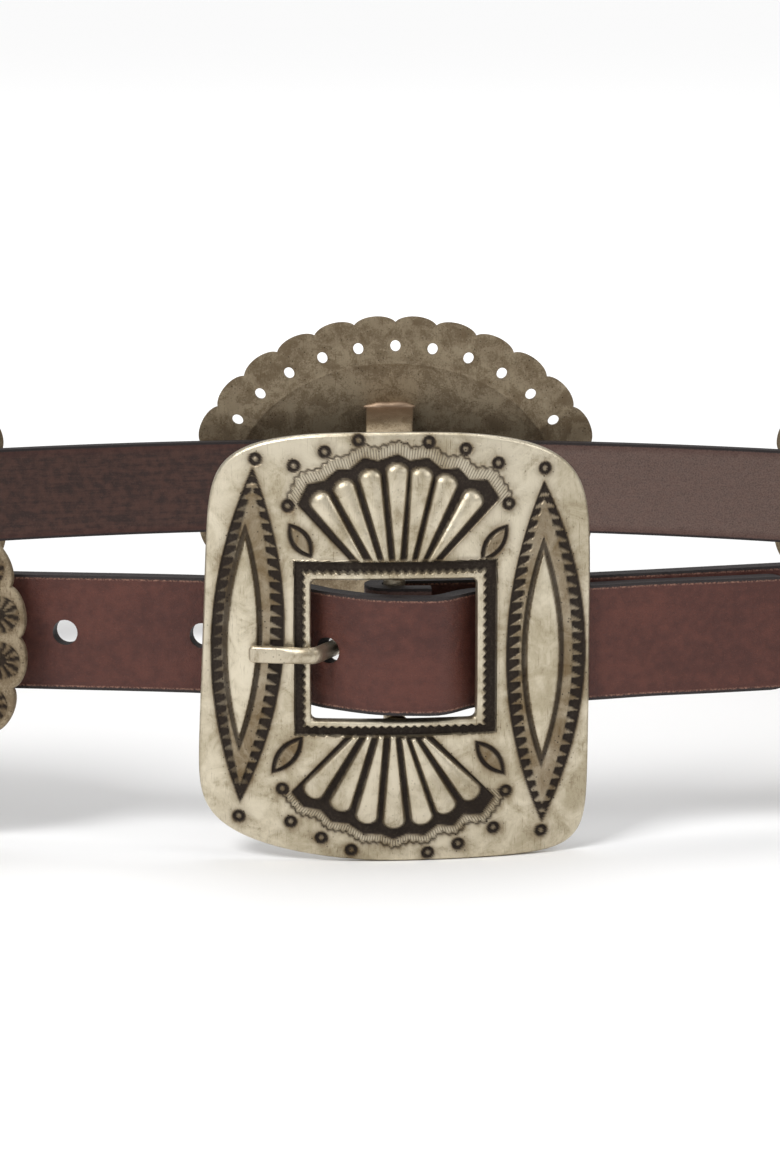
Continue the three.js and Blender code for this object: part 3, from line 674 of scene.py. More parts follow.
@dataclass(frozen=True)
class FloorPaint:
    """The pale floor that the belt stands on, with a painted glow that brings it up to white away from the
    belt.
    """

    colour: Colour = (0.93, 0.93, 0.93)
    # Strength of the floor's painted glow far from the belt.
    lit: float = 0.55
    lit_from: float = 0.15
    lit_to: float = 1.2

    def make(self) -> bpy.types.Material:
        """Makes the material."""
        recipe = Recipe("pale_floor")
        away = recipe.add("ShaderNodeVectorMath", {"operation": "LENGTH"}, {0: recipe.place()}, output="Value")
        # Painted light: the floor glows more the farther it lies from the belt, so that it reads white there.
        lit = recipe.mix(away.rise(self.lit_from, self.lit_to), (0.0, 0.0, 0.0), (self.lit,) * 3)
        return recipe.finish({
            "Base Color": (*self.colour, 1.0),
            "Emission Color": lit,
            "Emission Strength": 1.0,
            "Roughness": 0.9,
            "Specular IOR Level": 0.2,
        })


def dress(piece: bpy.types.Object, material: bpy.types.Material, slot: Slot, *nodes: str) -> None:
    """Gives a piece its finish and its place in the belt.

    Args:
        piece: the piece.
        material: its finish.
        slot: the record's slot that the finish comes from; not used.
        nodes: the solids that it stands for.
    """
    piece.data.materials.clear()
    piece.data.materials.append(material)
    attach(piece, "root")
    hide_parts(*nodes)
    log.info("%s: %d faces", piece.name, len(piece.data.polygons))


# The oval that the belt is closed into


@dataclass
class Frames:
    """Places on the loop: a point, the way across and the way outward at each."""

    point: np.ndarray
    outward: np.ndarray

    @property
    def across(self) -> np.ndarray:
        """The way across, to the right when the belt is seen from outside."""
        return np.stack([-self.outward[..., 1], self.outward[..., 0]], axis=-1)

    def at(self, across: float, out: np.ndarray | float) -> np.ndarray:
        """Points at a distance across and out from the places."""
        shift = np.asarray(out)[..., None] * self.outward
        return self.point + across * self.across + shift


@dataclass
class Loop:
    """The oval of four arcs, given on the strap's middle surface and seen from above."""

    front_radius: float = 374.0
    back_radius: float = 263.0
    end_radius: float = 65.0
    depth: float = 177.4
    buckle_off_middle: float = 5.65
    shift: tuple[float, float] = (0.0, 0.0)

    def __post_init__(self) -> None:
        """Works out the arcs from the radii and the depth."""
        front_y = -self.depth / 2 + self.front_radius
        back_y = self.depth / 2 - self.back_radius
        a = self.front_radius - self.end_radius
        b = self.back_radius - self.end_radius
        end_y = (b * b - a * a + front_y**2 - back_y**2) / (2 * (front_y - back_y))
        end_x = math.sqrt(a * a - (front_y - end_y) ** 2)
        front_turn = math.atan2(end_x, front_y - end_y)
        back_turn = math.atan2(end_x, end_y - back_y)
        end_turn = math.pi - front_turn - back_turn
        quarter = math.pi / 2
        self.arcs = np.array([
            [0, front_y, self.front_radius, -quarter, front_turn],
            [end_x, end_y, self.end_radius, -quarter + front_turn, end_turn],
            [0, back_y, self.back_radius, quarter - back_turn, 2 * back_turn],
            [-end_x, end_y, self.end_radius, quarter + back_turn, end_turn],
            [0, front_y, self.front_radius, -quarter - front_turn, front_turn],
        ])
        self.starts = np.concatenate([[0], np.cumsum(self.arcs[:, 2] * self.arcs[:, 4])])
        self.length = float(self.starts[-1])

    def frames(self, along: np.ndarray | float) -> Frames:
        """Places at distances along the loop to the right from the middle of the front."""
        wanted = np.mod(np.asarray(along, float), self.length)
        i = np.clip(np.searchsorted(self.starts, wanted, side="right") - 1, 0, len(self.arcs) - 1)
        arcs = self.arcs[i]
        turn = arcs[..., 3] + (wanted - self.starts[i]) / arcs[..., 2]
        outward = np.stack([np.cos(turn), np.sin(turn)], axis=-1)
        return Frames(arcs[..., :2] + arcs[..., 2:3] * outward + np.array(self.shift), outward)

    def matrix(self, along: float, height: float, across: float = 0.0, out: float = 0.0) -> Matrix:
        """The place of a piece whose X runs across and whose -Y faces outward.

        Args:
            along: distance from the middle of the front.
            height: height above the floor.
            across: a further distance across.
            out: a further distance outward.

        Returns:
            The piece's matrix in millimetres.
        """
        here = self.frames(along)
        x, y = here.at(across, out)
        turn = math.atan2(here.across[1], here.across[0])
        return Matrix.Translation((x, y, height)) @ Matrix.Rotation(turn, 4, "Z")


def put(piece: bpy.types.Object, place: Matrix) -> None:
    """Moves a piece's mesh to its place, so that its object stays at the origin."""
    matrix = place.copy()
    matrix.translation = place.translation * METRES
    piece.data.transform(matrix)


# The strap


@dataclass
class Strap:
    """The leather strap, drawn flat with its holes and then bent along its way."""

    loop: Loop
    centre_height: float
    width: float = 21.7
    thickness: float = 3.2
    edge_rounding: float = 0.55
    hole_radius: float = 2.4
    hole_pitch: float = 26.1
    hole_count: int = 3
    tongue_hole_across: float = -11.0
    tongue_drop: float = 0.5
    free_end: float = 80.0
    tip_rounding: float = 9.0
    tab_length: float = 7.0
    bar_out: float = 8.0
    bar_across: float = 0.5
    fold_radius: float = 3.9
    rivet_across: float = 4.0
    rivet_rise: float = 6.5
    rivet_hole_radius: float = 1.5
    slot_reach: float = 4.8
    slot_half: float = 1.85
    free_way: tuple = (
        (-76.65, 0.0), (-36.5, 2.7), (-15.9, 7.16), (-11.0, 11.54), (0.0, 16.5), (6.2, 16.5),
        (15.0, 9.43), (36.5, 6.5), (51.1, 4.9),
    )
    free_drop: tuple = ((-76.65, 0.0), (-36.5, -0.4), (-11.0, 0.5), (15.9, 1.1))
    attached_way: tuple = ((6.2, 4.1), (76.65, 0.0))

    def trace(self) -> None:
        """Works out the strap's way: points, outward directions and drops at lengths along it."""
        start = self.loop.buckle_off_middle
        buckle = self.loop.frames(start)
        step = 0.4
        reach = self.attached_way[-1][0]
        tab = np.arange(self.tab_length, self.bar_across, -step)
        tab_out = (self.bar_out + self.fold_radius) * buckle.outward
        parts = [buckle.point + np.outer(tab, buckle.across) + tab_out]
        turns = np.linspace(math.pi / 2, 3 * math.pi / 2, 40)
        across = self.bar_across + self.fold_radius * np.cos(turns)
        out = self.bar_out + self.fold_radius * np.sin(turns)
        parts.append(buckle.point + np.outer(across, buckle.across) + np.outer(out, buckle.outward))
        around = np.arange(self.bar_across + step, self.loop.length - reach, step)
        parts.append(self.loop.frames(start + around).at(0, smooth_through(self.attached_way, around)))
        free = np.append(np.arange(-reach, self.free_end, step), self.free_end)
        parts.append(self.loop.frames(start + free).at(0, smooth_through(self.free_way, free)))
        self.points = np.concatenate(parts)
        self.lengths = np.concatenate([[0], np.cumsum(np.linalg.norm(np.diff(self.points, axis=0), axis=1))])
        steps = np.gradient(self.points, axis=0)
        steps /= np.linalg.norm(steps, axis=1, keepdims=True)
        self.outward = np.stack([steps[:, 1], -steps[:, 0]], axis=1)
        self.drops = np.zeros(len(self.points))
        self.drops[-len(free):] = smooth_through(self.free_drop, free)
        self.length = float(self.lengths[-1])
        self.across = (self.points - buckle.point) @ buckle.across
        self.free_start = float(self.lengths[-len(free)])

    def length_where(self, across: float, on_free_part: bool) -> float:
        """The length along the strap where it passes a place across the buckle.

        Args:
            across: the place across.
            on_free_part: looks on the free part, or else on the part that is riveted down.

        Returns:
            The length in millimetres.
        """
        folded = self.tab_length + math.pi * self.fold_radius
        chosen = self.lengths > (self.free_start if on_free_part else folded - self.bar_across)
        chosen &= self.lengths < (self.length if on_free_part else folded + self.free_end)
        return float(np.interp(across, self.across[chosen], self.lengths[chosen]))

    def bend(self, flat: np.ndarray) -> np.ndarray:
        """Bends flat points to the belt's shape.

        Args:
            flat: lengths along the strap, rises from its middle and depths out of its middle surface.

        Returns:
            The points in millimetres.
        """
        along, rise, depth = flat.T
        x, y, outward_x, outward_y, drop = (
            np.interp(along, self.lengths, column)
            for column in (*self.points.T, *self.outward.T, self.drops)
        )
        scale = np.hypot(outward_x, outward_y)
        x += depth * outward_x / scale
        y += depth * outward_y / scale
        return np.stack([x, y, self.centre_height - drop + rise], axis=1)

    def holes(self) -> list[tuple[float, float, float]]:
        """The round holes as (length, rise, radius)."""
        tongue = self.length_where(self.tongue_hole_across, True)
        holes = [(tongue - i * self.hole_pitch, 0.0, self.hole_radius) for i in range(self.hole_count)]
        for rise in (self.rivet_rise, -self.rivet_rise):
            holes.append((self.tab_length - self.rivet_across, rise, self.rivet_hole_radius))
            holes.append((self.length_where(self.rivet_across, False), rise, self.rivet_hole_radius))
        return holes

    def columns(self, holes: list[tuple[float, float, float]], slot: tuple[float, float]) -> np.ndarray:
        """Lengths along the strap where the flat mesh has its columns of points."""
        fixed = [slot[0], slot[1]]
        for at, _, radius in holes:
            share = radius / 4
            fixed.extend(at + share * np.arange(-7, 8))
        kept = [0.0, self.length]
        for at in sorted(fixed):
            if min(abs(at - other) for other in kept) > 0.12:
                kept.append(float(at))
        kept.sort()
        columns = []
        near_fold = self.tab_length + math.pi * self.fold_radius + 6
        buckle_free = self.length_where(-40.0, True)
        for a, b in zip(kept, kept[1:]):
            size = 0.7 if b < near_fold else (1.3 if a > buckle_free else 2.6)
            count = max(1, math.ceil((b - a) / size - 0.2))
            columns.extend(a + (b - a) * np.arange(count) / count)
        tip = self.length - self.tip_rounding
        columns = [at for at in columns if at < tip]
        ends = tip + self.tip_rounding * np.sin(np.linspace(0, math.pi / 2, 14)[:-1])
        return np.array([*columns, *ends, self.length - 0.02])

    def build(self) -> bpy.types.Object:
        """Draws the strap flat, cuts its holes, rounds its edges and bends it.

        Returns:
            The strap.
        """
        self.trace()
        half = self.width / 2
        holes = self.holes()
        slot = (
            self.tab_length - self.bar_across - self.slot_reach,
            self.length_where(self.bar_across + self.slot_reach, False),
        )
        along = self.columns(holes, slot)
        upper = np.array([0.6, 1.2, 1.8, 2.4, 3.1, 3.8, 4.4, 5.0, 5.75, 6.5, 7.25, 8.0, 8.8, 9.6, 10.3, half])
        rows = np.concatenate([-upper[::-1], [0], upper])
        x, y = np.meshgrid(along, rows, indexing="ij")
        middles_x = (x[1:, 1:] + x[:-1, :-1]) / 2
        middles_y = (y[1:, 1:] + y[:-1, :-1]) / 2
        kept = np.ones(middles_x.shape, bool)
        new_x, new_y = x.copy(), y.copy()
        for at, rise, radius in holes:
            reach = 1.75 * radius
            kept &= ~((abs(middles_x - at) < radius) & (abs(middles_y - rise) < radius))
            dx, dy = x - at, y - rise
            square = np.maximum(abs(dx), abs(dy))
            distance = np.maximum(np.hypot(dx, dy), 1e-9)
            t = np.clip((square - radius) / (reach - radius), 0, 1)
            factor = np.where(square < reach, (1 - t) * square / distance + t, 1)
            inside = square < reach
            new_x = np.where(inside, at + dx * factor, new_x)
            new_y = np.where(inside, rise + dy * factor, new_y)
        kept &= ~((middles_x > slot[0]) & (middles_x < slot[1]) & (abs(middles_y) < 2.4))
        low, high = -self.tongue_drop - self.slot_half, -self.tongue_drop + self.slot_half
        slot_rows = np.interp(y, [-half, -3.8, -2.4, 2.4, 3.8, half], [-half, -3.8, low, high, 3.8, half])
        near_slot = smoothstep(slot[0] - 3, slot[0], x) * smoothstep(slot[1] + 3, slot[1], x)
        new_y = new_y + (slot_rows - y) * near_slot
        past = np.clip((x - (self.length - self.tip_rounding)) / self.tip_rounding, 0, 1)
        new_y = new_y * np.sqrt(np.maximum(1 - past**2, 0))

        work = bmesh.new()
        depth = self.thickness / 2
        sheet = [
            [
                [work.verts.new((a, b, level)) for a, b in zip(column_x, column_y)]
                for column_x, column_y in zip(new_x, new_y)
            ]
            for level in (depth, -depth)
        ]
        for i, j in zip(*np.nonzero(kept)):
            front, back = sheet
            work.faces.new((front[i][j], front[i + 1][j], front[i + 1][j + 1], front[i][j + 1]))
            work.faces.new((back[i][j], back[i][j + 1], back[i + 1][j + 1], back[i + 1][j]))
        open_edges = [edge for edge in work.edges if edge.is_boundary and edge.verts[0].co.z > 0]
        partner = {front: back for a, b in zip(*sheet) for front, back in zip(a, b)}
        for edge in open_edges:
            a, b = edge.verts
            work.faces.new((b, a, partner[a], partner[b]))
        loose = [vert for vert in work.verts if not vert.link_faces]
        bmesh.ops.delete(work, geom=loose, context="VERTS")
        bmesh.ops.recalc_face_normals(work, faces=work.faces)
        corners = [
            edge for edge in work.edges
            if len(edge.link_faces) == 2 and edge.calc_face_angle(0) > math.radians(60)
            and abs(edge.verts[0].co.z - edge.verts[1].co.z) < 1e-6
        ]
        bmesh.ops.bevel(
            work,
            geom=corners,
            offset=self.edge_rounding,
            segments=3,
            profile=0.5,
            affect="EDGES",
            clamp_overlap=True,
        )
        mesh = bpy.data.meshes.new("strap")
        work.to_mesh(mesh)
        work.free()

        flat = np.zeros(len(mesh.vertices) * 3, np.float32)
        mesh.vertices.foreach_get("co", flat)
        flat = flat.reshape(-1, 3).astype(float)
        bent = self.bend(flat) * METRES
        mesh.vertices.foreach_set("co", bent.astype(np.float32).ravel())
        mesh.attributes.new(Value.FLAT.value, "FLOAT_VECTOR", "POINT").data.foreach_set(
            "vector", flat.astype(np.float32).ravel()
        )
        grain_side = smoothstep(-0.6, 0.6, flat[:, 2]).astype(np.float32)
        mesh.attributes.new(Value.GRAIN_SIDE.value, "FLOAT", "POINT").data.foreach_set("value", grain_side)
        mesh.shade_smooth()
        mesh.set_sharp_from_angle(angle=math.radians(50))
        piece = bpy.data.objects.new("belt_strap", mesh)
        bpy.context.scene.collection.objects.link(piece)
        return piece


# Stamped ornament


class Relief:
    """Heights and patina over the points of a stamped plate."""

    def __init__(self, u: np.ndarray, v: np.ndarray) -> None:
        """Starts with a plain plate.

        Args:
            u: the points' places across, in millimetres.
            v: their heights from the plate's centre.
        """
        self.u, self.v = u, v
        self.height = np.zeros_like(u)
        self.patina = np.zeros_like(u)
        self.halo = np.zeros_like(u)
        self.ticked = np.zeros_like(u)
        self.tick_run = np.zeros_like(u)

    def sink(self, distance: np.ndarray, depth: float, wall: float = 0.25, dark: float = 1.0) -> None:
        """Stamps a recess.

        Args:
            distance: the signed distance to its outline, below 0 inside.
            depth: how deep it goes.
            wall: how wide its sloping wall is.
            dark: how much patina it holds.
        """
        inside = smoothstep(wall * 0.4, -wall, distance)
        self.height = self.height * (1 - inside) - depth * inside
        self.patina = np.maximum(self.patina * (1 - inside), dark * smoothstep(0.12, -0.16, distance))
        self.halo = np.maximum(self.halo, dark * np.exp(-np.maximum(distance, 0) / 0.6))

    def lift(self, inside: np.ndarray, height: np.ndarray | float, dark: float = 0.0) -> None:
        """Raises the points to a height.

        Args:
            inside: shares of the height that the points get.
            height: the height over the plate.
            dark: how much patina is left on it.
        """
        self.height = self.height * (1 - inside) + height * inside
        self.patina = self.patina * (1 - inside) + dark * inside

    def dot(self, across: float, up: float, radius: float = 1.25) -> None:
        """Stamps a small dark ring round a bead kept light: partly clean raised silver, partly a painted
        highlight.
        """
        distance = np.hypot(self.u - across, self.v - up) - radius
        self.sink(distance, 0.4, 0.35)
        # The bead's low patina is partly clean raised silver and partly a painted highlight at the dot's
        # centre.
        self.lift(smoothstep(-0.55 * radius, -0.75 * radius, distance), -0.05, 0.2)

    def leaf(self, from_tip: tuple[float, float], to_tip: tuple[float, float], half_width: float = 1.9) -> None:
        """Stamps a leaf with a dark rim and a bright raised middle between two tips."""
        a, b = np.array(from_tip), np.array(to_tip)
        half = np.linalg.norm(b - a) / 2
        way = (b - a) / (2 * half)
        x = (self.u - (a[0] + b[0]) / 2) * way[0] + (self.v - (a[1] + b[1]) / 2) * way[1]
        y = (self.v - (a[1] + b[1]) / 2) * way[0] - (self.u - (a[0] + b[0]) / 2) * way[1]
        distance = 0.86 * (abs(y) - half_width * (1 - (x / half) ** 2))
        self.sink(distance, 0.4, 0.3)
        self.lift(smoothstep(-0.62, -0.85, distance), 0.2)


def lens(
    u: np.ndarray,
    v: np.ndarray,
    top: tuple[float, float],
    bottom: tuple[float, float],
    left: float,
    right: float,
) -> np.ndarray:
    """Signed distances to a pointed oval.

    Args:
        u: places across.
        v: places up.
        top: its upper tip.
        bottom: its lower tip.
        left: how far it bulges to the left of the line between its tips.
        right: how far it bulges to the right.

    Returns:
        Distances in millimetres, below 0 inside.
    """
    half = (top[1] - bottom[1]) / 2
    s = (v - (top[1] + bottom[1]) / 2) / half
    x = u - (bottom[0] + (top[0] - bottom[0]) * (s + 1) / 2)
    bulge = np.where(x < 0, left, right)
    held = np.clip(s, -1, 1)
    slope = 2 * bulge * held / half
    beside = (abs(x) - bulge * (1 - held**2)) / np.sqrt(1 + slope**2)
    beyond = np.hypot(x, (abs(s) - 1) * half)
    return np.where(abs(s) > 1, beyond, beside)


@dataclass(frozen=True)
class Fan:
    """A fan of bright flutes above or below the buckle's opening, inside a dark shouldered outline."""

    roots: tuple
    tips: tuple
    outline: tuple
    band_to: float = 2.45
    root_half: float = 0.55
    tip_half: float = 2.3
    height: float = 1.15
    line_half: float = 0.42
    groove: float = 0.75
    zigzag_pitch: float = 1.3

    def from_outline(self, u: np.ndarray, v: np.ndarray) -> tuple[np.ndarray, np.ndarray]:
        """Distances to the outline, below 0 inside the fan, and distances to its shouldered part alone.

        Args:
            u: places across.
            v: places up.

        Returns:
            The two arrays of distances.
        """
        end = 1 if self.tips[0][1] > 0 else -1
        left, right = self.roots[0], self.roots[-1]
        beside = self.groove + 0.4
        feet = ((right[0] + beside, right[1] - end * 0.3), (left[0] - beside, left[1] - end * 0.3))
        corners = np.array([*self.outline, *feet])
        nearest = np.full(u.shape, 1e3)
        shouldered = np.full(u.shape, 1e3)
        inside = np.zeros(u.shape, bool)
        for i, (a, b) in enumerate(zip(corners, np.roll(corners, -1, axis=0))):
            edge = b - a
            t = np.clip(((u - a[0]) * edge[0] + (v - a[1]) * edge[1]) / (edge @ edge), 0, 1)
            distance = np.hypot(u - a[0] - t * edge[0], v - a[1] - t * edge[1])
            nearest = np.minimum(nearest, distance)
            if i < len(self.outline) - 1:
                shouldered = np.minimum(shouldered, distance)
            crosses = (a[1] > v) != (b[1] > v)
            at = a[0] + (v - a[1]) * edge[0] / (edge[1] if abs(edge[1]) > 1e-9 else 1e-9)
            inside ^= crosses & (u < at)
        return np.where(inside, -nearest, nearest), np.where(inside, -shouldered, shouldered)

    def stamp(self, relief: Relief) -> None:
        """Stamps the dark ground and its outline, the flutes on it, and the ticks and zigzag line outside."""
        u, v = relief.u, relief.v
        end = 1 if self.tips[0][1] > 0 else -1
        ground, shouldered = self.from_outline(u, v)
        beyond = smoothstep(0.0, 1.5, end * v - min(abs(self.outline[0][1]), abs(self.outline[-1][1])) + 1.0)

        band = smoothstep(self.line_half, self.line_half + 0.2, shouldered)
        band *= smoothstep(self.band_to, self.band_to - 0.2, shouldered) * beyond
        turn = np.arctan2(u, end * v - 6.0)
        relief.ticked = np.maximum(relief.ticked, band)
        relief.tick_run = np.where(band > 0, 29.0 * turn, relief.tick_run)
        relief.halo = np.maximum(relief.halo, 0.3 * band)
        zigzag = 0.16 * np.sin(2 * math.pi * 29.0 * turn / self.zigzag_pitch)
        line = abs(shouldered + zigzag - self.band_to - 0.25) - 0.2
        relief.sink(np.where(beyond > 0.5, line, 1e3), 0.25, 0.2, 0.85)

        relief.sink(ground - self.line_half, 0.45, 0.3)
        for root, tip in zip(self.roots, self.tips):
            length = math.hypot(tip[0] - root[0], tip[1] - root[1])
            way = ((tip[0] - root[0]) / length, (tip[1] - root[1]) / length)
            e = (u - root[0]) * way[0] + (v - root[1]) * way[1]
            p = (u - root[0]) * way[1] - (v - root[1]) * way[0]
            share = np.clip(e / length, 0, 1)
            wide = self.root_half + (self.tip_half - self.root_half) * share
            past = np.maximum(e - (length - self.tip_half * 0.8), 0) * 1.25
            radial = np.hypot(p, past)
            flute = smoothstep(0.12, -0.14, radial - wide) * smoothstep(-0.6, -0.2, e)
            crown = np.sqrt(np.clip(1 - (radial / wide) ** 2, 0, 1))
            level = -0.25 + (self.height * (0.4 + 0.6 * share) + 0.25) * crown
            relief.lift(flute, level)
            relief.patina = np.maximum(relief.patina, 0.3 * flute * smoothstep(0.6, 0.25, crown))
            relief.halo = relief.halo * (1 - flute * smoothstep(0.3, 0.7, crown) * 0.85)


@dataclass(frozen=True)
class Almond:
    """A tall pointed oval with a toothed border and a raised middle."""

    top: tuple[float, float]
    bottom: tuple[float, float]
    left: float
    right: float
    inner_top: tuple[float, float]
    inner_bottom: tuple[float, float]
    inner_half: float
    teeth_left: float = 1.0
    teeth_right: float = 1.0
    band: float = 2.5
    tooth_pitch: float = 2.12
    tooth_length: float = 1.9
    tooth_width: float = 1.15
    height: float = 1.05

    def stamp(self, relief: Relief) -> None:
        """Stamps the border and raises the middle."""
        u, v = relief.u, relief.v
        outer = lens(u, v, self.top, self.bottom, self.left, self.right)
        shorter = 3.4
        middle_u = (self.top[0] + self.bottom[0]) / 2
        line_top = (self.top[0], self.top[1] - shorter)
        line_bottom = (self.bottom[0], self.bottom[1] + shorter)
        line = lens(u, v, line_top, line_bottom, self.left - self.band, self.right - self.band)
        inner = lens(u, v, self.inner_top, self.inner_bottom, self.inner_half + 0.75, self.inner_half + 0.75)
        core_top = (self.inner_top[0], self.inner_top[1] - 2.2)
        core_bottom = (self.inner_bottom[0], self.inner_bottom[1] + 2.2)
        core = lens(u, v, core_top, core_bottom, self.inner_half, self.inner_half)

        relief.sink(outer, 0.5, 0.3)
        phase = np.mod((v + 0.3 * np.maximum(line, 0)) / self.tooth_pitch, 1) - 0.5
        reach = np.clip(1 - np.maximum(line, 0) / self.tooth_length, 0, 1)
        tooth = smoothstep(-0.12, 0.12, 0.5 * self.tooth_width * reach - abs(phase) * self.tooth_pitch)
        strength = np.where(u < middle_u, self.teeth_left, self.teeth_right)
        tooth = tooth * strength * (reach > 0) * (outer < -0.35)
        relief.lift(tooth, -0.12 * reach - 0.35 * (1 - reach), 0.08)
        relief.lift(smoothstep(0.12, -0.15, line), 0.08)
        relief.sink(inner, 0.28, 0.3, 0.8)
        core_inside = smoothstep(0.1, -0.35, core)
        s = (v - (core_top[1] + core_bottom[1]) / 2) / ((core_top[1] - core_bottom[1]) / 2)
        bulge = np.maximum(self.inner_half * (1 - np.clip(s, -1, 1) ** 2), 0.05)
        crown = np.sqrt(np.clip(1 - (1 + np.minimum(core, 0) / bulge) ** 2, 0, 1))
        relief.lift(core_inside, self.height * crown * (1 - 0.5 * s**4), 0.0)
        relief.halo = np.maximum(relief.halo * (core > -0.3), 0.5 * smoothstep(-0.9, 0.1, core) * (inner < 0.3))


# The buckle


@dataclass
class Buckle:
    """The stamped plate with its crossbar soldered behind it, in the plate's own frame."""

    half_width: float = 36.5
    top: float = 40.3
    bottom: float = 39.3
    flare: float = 3.5
    thickness: float = 1.5
    sag_across: float = 7.0
    sag_up: float = 2.5
    front_out: float = 16.0
    opening_half_width: float = 15.0
    opening_half_height: float = 13.0
    opening_rise: float = 0.9
    opening_corner: float = 1.1
    channel: tuple = (-18.0, 18.9, -15.1, 17.1)
    centre_height: float = 39.3
    bar_radius: float = 2.0
    bar_out: float = 8.0
    bar_across: float = 0.5
    bar_leg_offset: float = 3.0
    edge_rounding: float = 0.55
    corners: tuple = (
        (1, 1, 2.7, 7.2), (-1, 1, 3.1, 9.3), (-1, -1, 1.65, 8.4), (1, -1, 8.0, 10.7),
    )
    columns: int = 920
    rings: int = 98
    back_share: int = 4
    back_rings: int = 16
    dots: tuple = (
        (-19.0, 27.1), (-17.9, 34.3), (-12.3, 36.9), (-6.2, 39.0), (6.5, 38.6), (13.2, 37.2), (19.2, 34.5),
        (21.1, 27.1), (-20.3, -25.5), (-18.8, -31.8), (-13.2, -34.8), (-7.7, -37.1), (6.4, -37.8),
        (12.0, -36.3), (18.6, -33.5), (20.8, -26.5), (-24.8, 35.4), (27.9, 33.2), (-28.3, -31.2), (27.7, -34.8),
    )
    leaves: tuple = (
        ((-18.9, 24.0), (-14.7, 17.7)), ((21.0, 23.4), (15.9, 16.7)),
        ((-16.5, -15.3), (-22.3, -22.7)), ((15.0, -16.5), (20.7, -23.4)),
    )
    fans: tuple = (
        Fan(
            roots=(
                (-5.8, 17.3), (-3.3, 17.3), (-1.3, 17.3), (0.7, 17.3), (2.8, 17.3), (4.7, 17.2),
                (6.7, 17.2),
            ),
            tips=(
                (-14.1, 29.5), (-9.5, 31.9), (-4.5, 33.9), (0.7, 35.0), (5.4, 34.2), (10.2, 32.7),
                (15.4, 29.5),
            ),
            outline=(
                (-16.8, 27.4), (-15.2, 30.8), (-12.3, 31.3), (-9.9, 33.4), (-7.8, 33.4), (-5.1, 35.5),
                (-2.8, 34.9), (0.8, 36.1), (3.0, 34.9), (6.3, 35.4), (8.7, 33.3), (11.8, 33.4),
                (13.6, 31.4), (17.0, 31.1), (18.9, 28.2),
            ),
        ),
        Fan(
            roots=(
                (-6.9, -15.4), (-4.5, -15.4), (-2.3, -15.5), (-0.1, -15.5), (1.9, -15.9), (3.7, -16.1),
                (5.7, -16.0),
            ),
            tips=(
                (-15.6, -26.8), (-10.3, -29.5), (-5.2, -32.0), (0.1, -33.0), (5.6, -32.3), (10.3, -30.2),
                (15.3, -27.5),
            ),
            outline=(
                (-18.2, -26.1), (-16.2, -28.6), (-13.0, -29.2), (-11.1, -31.3), (-8.0, -31.7), (-5.2, -33.7),
                (-2.3, -33.6), (0.1, -34.7), (2.7, -33.6), (5.7, -34.0), (8.1, -32.0), (11.0, -32.4),
                (12.9, -30.2), (16.1, -30.5), (18.3, -27.5),
            ),
            band_to=1.7,
        ),
    )
    almonds: tuple = (
        Almond(
            top=(-25.3, 34.0), bottom=(-28.1, -28.6), left=6.4, right=6.9,
            inner_top=(-26.7, 24.0), inner_bottom=(-28.2, -18.8), inner_half=2.9, teeth_left=0.45,
        ),
        Almond(
            top=(27.7, 31.1), bottom=(27.8, -33.2), left=7.1, right=8.0,
            inner_top=(27.6, 20.9), inner_bottom=(27.5, -22.6), inner_half=3.3,
        ),
    )

    def front(self, u: np.ndarray, v: np.ndarray) -> np.ndarray:
        """How far out the plate's front lies before it is stamped."""
        return self.front_out - self.sag_across * (u / self.half_width) ** 2 - self.sag_up * (v / self.top) ** 2

    def outer_outline(self, turns: np.ndarray) -> np.ndarray:
        """Points on the plate's outline, one for each turn."""
        cos, sin = np.cos(turns), np.sin(turns)
        across_power = np.zeros_like(turns)
        up_power = np.zeros_like(turns)
        for side, end, across, up in self.corners:
            here = (side * cos >= 0) & (end * sin >= 0)
            across_power = np.where(here, across, across_power)
            up_power = np.where(here, up, up_power)
        height = np.where(sin > 0, self.top, self.bottom)
        up = np.sign(sin) * height * abs(sin) ** (2 / up_power)
        flare = np.where(cos < 0, self.flare * (0.5 + up / height / 2), 0)
        return np.stack([np.sign(cos) * (self.half_width - flare) * abs(cos) ** (2 / across_power), up], axis=1)

    def inner_outline(self) -> np.ndarray:
        """Points on the opening's outline, a rectangle with small rounded corners."""
        around = rounded_section(self.opening_half_width, self.opening_half_height, self.opening_corner, 8)
        return around + np.array([0.0, self.opening_rise])

    @staticmethod
    def reach(outline: np.ndarray, angles: np.ndarray) -> np.ndarray:
        """Distances from the centre to an outline in given directions."""
        around = np.arctan2(outline[:, 1], outline[:, 0])
        order = np.argsort(around)
        around, points = around[order], outline[order]
        around = np.concatenate([[around[-1] - 2 * math.pi], around, [around[0] + 2 * math.pi]])
        points = np.concatenate([points[-1:], points, points[:1]])
        wrapped = np.mod(angles + math.pi, 2 * math.pi) - math.pi
        i = np.clip(np.searchsorted(around, wrapped, side="right") - 1, 0, len(around) - 2)
        a, b = points[i], points[i + 1]
        way = np.stack([np.cos(wrapped), np.sin(wrapped)], axis=1)
        edge = b - a
        cross = way[:, 0] * edge[:, 1] - way[:, 1] * edge[:, 0]
        return (a[:, 0] * edge[:, 1] - a[:, 1] * edge[:, 0]) / np.where(abs(cross) < 1e-9, 1e-9, cross)

    def directions(self) -> np.ndarray:
        """Directions from the centre, spaced evenly on a rectangle between the two outlines."""
        fine = np.linspace(-math.pi, math.pi, 20001)
        turns = np.linspace(-math.pi, math.pi, 8001)[:-1]
        outer = self.reach(self.outer_outline(turns), fine)
        inner = self.reach(self.inner_outline(), fine)
        middle = (outer * 0.5 + inner * 0.5)[:, None] * np.stack([np.cos(fine), np.sin(fine)], axis=1)
        lengths = np.concatenate([[0], np.cumsum(np.linalg.norm(np.diff(middle, axis=0), axis=1))])
        return np.interp(lengths[-1] * np.arange(self.columns) / self.columns, lengths, fine)

